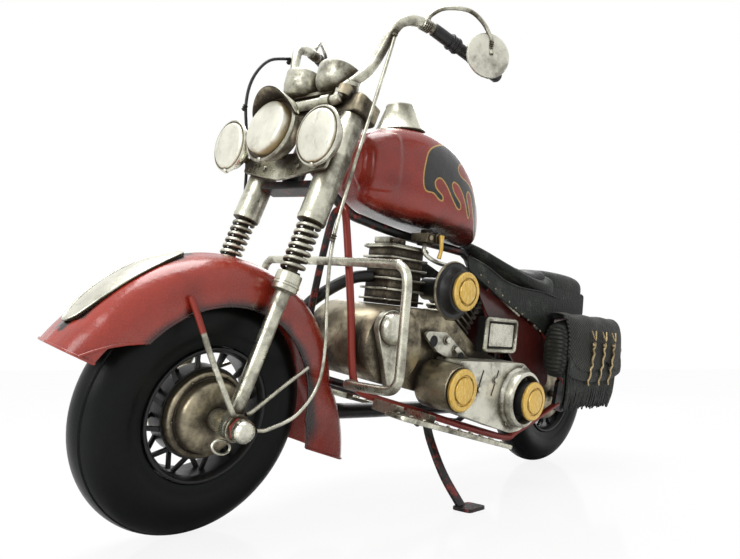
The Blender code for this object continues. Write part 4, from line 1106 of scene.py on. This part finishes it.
# ---- painted side panels under the seat -----------------------------------------------------
s = Shape()
for side in (-1, 1):
    panel = rounded([(20, 120), (44, 113), (70, 104), (100, 92), (108, 88), (112, 60), (100, 52),
                     (78, 66), (60, 82), (40, 98)], 2.5, 3, True)
    s.skin([[(x, side * yy, z) for x, z in panel] for yy in (17.6, 18.6)])
panel = piece("side_panels", "chassis", s, DEEP_RED, BIKE)

# ---- seat, pillion pad and saddlebags -------------------------------------------------------
def stuffed(sections, count=40, power=0.62, crown=0.0, per=8):
    """A soft, crowned form through (x, y, z, half width, half height) sections."""
    axes = [spline([Vector((q[0], q[k], 0)) for q in sections], per) for k in (1, 2, 3, 4)]
    rings = []
    for y, z, half, high in zip(*axes):
        ring = []
        for k in range(count):
            c, sn = math.cos(2 * math.pi * k / count), math.sin(2 * math.pi * k / count)
            up = math.copysign(abs(sn) ** power, sn)
            ring.append(Vector((y.x, y.y + half.y * math.copysign(abs(c) ** power, c),
                                z.y + high.y * up + (crown * (1 - c * c) if up > 0 else 0))))
        rings.append(ring)
    for way, index in ((-1, 0), (1, -1)):
        ring = rings[index]
        centre = sum(ring, Vector()) / len(ring)
        caps = [[centre + (p - centre) * k + Vector((way * d, 0, 0)) for p in ring]
                for k, d in ((0.85, 0.5), (0.5, 0.8), (0.04, 0.9))]
        rings = caps[::-1] + rings if way < 0 else rings + caps
    return rings


s = Shape().skin(stuffed([(33, 0, 142.0, 6, 2.2), (42, 0, 138.6, 10, 3.2), (58, 0, 132, 17, 4.0),
                          (76, 0, 125.6, 22.5, 5.5), (92, 0, 122.8, 24, 6.5), (102, 0, 124.5, 22, 8.0),
                          (105.0, 0, 126, 17, 7.0)], crown=0.6))
s.skin(stuffed([(62, 0, 134, 8, 2.0), (72, 0, 130.5, 14, 3.6), (88, 0, 127.5, 17, 5.0),
                (100, 0, 130, 16, 5.0), (103.5, 0, 131, 11, 3.6)], crown=1.4), m=1)
for side in (-1, 1):
    skirt = rounded([(6, 134), (24, 130), (42, 124), (60, 121.5), (84, 121), (103, 119), (103.5, 104),
                     (99, 90), (84, 98), (62, 105), (42, 112), (22, 120), (7, 126)], 2.5, 3, True)
    s.skin([[(x, side * (yy + 0.02 * (134 - z)), z) for x, z in skirt] for yy in (22.6, 23.8)], m=0)
    for k in range(11):
        x = 18 + 7.6 * k
        z = 121.4 - 0.42 * (x - 18) + 2.6
        s.stud((x, side * (23.8 + 0.02 * (134 - z)), z), (0, side, 0), 0.8, 0.7, m=2)
    s.rod([(8, side * 23.9, 133), (24, side * 24.0, 129.6), (42, side * 24.1, 123.6),
           (60, side * 24.2, 121), (84, side * 24.2, 120.6), (103, side * 24.2, 118.6)], 0.5, m=0)
seat = piece("saddle", "chassis", s, (HIDE, HIDE, BROWN), BIKE, ("seat",))
s = Shape().skin(stuffed([(106.6, 0, 125, 13, 8.5), (110, 0, 125.5, 16, 11.0), (120, 0, 125.6, 16.9, 11.5),
                          (140, 0, 125.6, 17, 11.4), (151, 0, 125, 16.2, 10.6), (155, 0, 124, 13, 8.0)],
                         crown=0.5))
for side in (-1, 1):
    for k in range(9):
        x = 113 + 4.6 * k
        s.rod([(x, side * 16.9, 121.2), (x + 0.3, side * 17.5, 122.8), (x + 0.8, side * 17.1, 124.6)],
              0.38, m=1, sides=6, per=3)
    fold = rounded([(104.5, 126), (104.5, 108), (110, 105.5), (146, 106.5), (153, 109), (153, 124)],
                   2.5, 3, True)
    s.skin([[(x, side * (yy + 0.03 * (126 - z)), z) for x, z in fold] for yy in (17.0, 18.0)], m=0)
pad = piece("pillion_cushion", "chassis", s, (HIDE, PIT), BIKE, ("pillion_pad",))
random.seed(7)
for tag, side in SIDES:
    y = side * 33.8
    out = side * 1.0
    s = Shape().skin(stuffed([(90, y, 84, 5, 14), (93, y, 84.5, 9.0, 17.5), (112, y, 86.0, 9.8, 19.5),
                              (140, y, 86.0, 9.8, 19.5), (160, y, 84.5, 9.0, 17.5), (163, y, 84, 5, 14)],
                             power=0.7))
    flap, span = [], [(-9.0, 105.6), (-4, 108.2), (3, 108.4), (8.4, 105.0), (11.2, 98.5), (12.4, 92.0),
                      (12.8, 84.5), (12.6, 80.5)]
    for i in range(33):
        t = i / 32
        x = 89.4 + 74.2 * t
        drop = 9.0 * abs(math.sin(1.5 * math.pi * t)) ** 0.6 - 1.0
        pull = 1 - 0.16 * abs(2 * t - 1) ** 4
        edge = [Vector((x, y + out * u * pull, z - drop * max(0.0, min(1.0, (98 - z) / 16)) + 0.35 * math.sin(19 * t)))
                for u, z in ((p.x, p.y) for p in spline([Vector((u, z, 0)) for u, z in span], 4))]
        flap.append(edge + [p + Vector((0, -out * 0.9, -0.6)) for p in reversed(edge)])
    s.skin(flap, m=0)
    under = [[Vector((x, y + out * u, z - 6.0 * math.sin(math.pi * (x - 90) / 73) ** 0.6))
              for u, z in ((10.6, 84), (11.4, 80), (11.8, 76), (11.6, 72), (10.6, 71), (10.2, 84))]
             for x in (90 + 73 * k / 28 for k in range(29))]
    s.skin(under, m=2)
    for x in (116, 131, 145):
        lace = [(x + 1.0 * math.sin(2.4 * k), y + out * (13.6 - 0.02 * k * k), 92 - 2.6 * k)
                for k in range(12)]
        s.rod(lace, 0.85, m=1, sides=8, per=4)
        s.stud((x, y + out * 13.2, 90), (0, side, 0), 1.5, 1.2, m=1)
        s.rod([(x - 3, y + out * 12.4, 99), (x, y + out * 14.0, 93), (x + 3, y + out * 12.4, 99)],
              0.5, m=1, sides=6, per=4)
    for k in range(46):
        x = 94.5 + 1.42 * k
        long = random.uniform(46.2, 49.5)
        bend, lean = random.uniform(-0.8, 0.8), random.uniform(-1.2, 1.2)
        for depth in (8.4, 6.0):
            s.rod([(x, y + out * depth, 77), (x + bend, y + out * (depth + 0.6), 68),
                   (x - bend, y + out * (depth + 0.2), 57), (x + lean, y + out * (depth - 1.0), long)],
                  [0.8, 0.95, 0.9, 0.5], m=2, sides=5, per=3)
    bag = piece("saddle_bag_" + tag, "chassis", s, (WOVEN, BRASS, HIDE), BIKE, ("saddlebag_" + tag,),
                angle=55)
    s = Shape()
    s.at = Matrix.Translation((-18, 0, 42.4)) @ Matrix.Rotation(math.radians(13.6), 4, "Y")
    deck = rounded([(-45, 37.6), (45, 37.6), (45, 52), (-45, 52)], 4.0, 5, True)
    s.skin([[(x * k, side * yy, z) for x, yy in deck] for z, k in ((0, 0.995), (0.3, 1), (1.8, 1),
                                                                (2.2, 0.992))])
    for k in range(9):
        for yy in (41, 48.5):
            s.stud((-38 + 9.4 * k, side * yy, 2.2), UP, 1.1, 0.9)
    for u in (-38, -14):
        s.block((u, side * 23.2, 0.4), (u + 5, side * 39, 5.6))
    piece("foot_deck_" + tag, "chassis", s, SILVER, BIKE, ("footboard_" + tag,),
          bevel=0.3)
s = Shape().rod([(178, -16.5, 84), (182, -22, 85), (187.5, -27.5, 86)], 1.3)
s.turn([(-3.8, 0), (-3.6, 1.6), (-2.8, 2.8), (-0.4, 3.9), (0.4, 3.9), (2.6, 2.9), (3.6, 1.5), (3.8, 0)],
       (190, -29.5, 86), (0.6, -0.6, 0.1), 36)
piece("signal_ball", "chassis", s, CLEAN, BIKE, ("rear_signal",))

# ---- table, world and the last steps --------------------------------------------------------
table = Surface("table_white")
eye = table.make("ShaderNodeLightPath")
table.finish(Base_Color=(0.88, 0.88, 0.88), Roughness=0.10, Specular_IOR_Level=0.6)
glow = table.tree.nodes.new("ShaderNodeEmission")
blend = table.tree.nodes.new("ShaderNodeMixShader")
table.put(blend.inputs[0], eye * 0.88)
table.tree.links.new(table.shader.outputs[0], blend.inputs[1])
table.tree.links.new(glow.outputs[0], blend.inputs[2])
table.tree.links.new(blend.outputs[0], table.tree.nodes["Material Output"].inputs[0])
mesh = bpy.data.meshes.new("table")
mesh.from_pydata([(-30, -30, 0), (30, -30, 0), (30, 30, 0), (-30, 30, 0)], [], [(0, 1, 2, 3)])
floor = bpy.data.objects.new("table", mesh)
mesh.materials.append(table.material)
bpy.context.scene.collection.objects.link(floor)
world = bpy.data.worlds.new("studio")
bpy.context.scene.world = world
world.use_nodes = True
nodes, links = world.node_tree.nodes, world.node_tree.links
path = nodes.new("ShaderNodeLightPath")
seen = nodes.new("ShaderNodeMath")
seen.operation, seen.use_clamp = "ADD", True
links.new(path.outputs["Is Camera Ray"], seen.inputs[0])
links.new(path.outputs["Is Glossy Ray"], seen.inputs[1])
strength = nodes.new("ShaderNodeMapRange")
strength.inputs["To Min"].default_value = 0.27
strength.inputs["To Max"].default_value = 1.0
links.new(seen.outputs[0], strength.inputs[0])
links.new(strength.outputs[0], nodes["Background"].inputs["Strength"])
nodes["Background"].inputs["Color"].default_value = (1, 1, 1, 1)

low, high = CAD_BOX
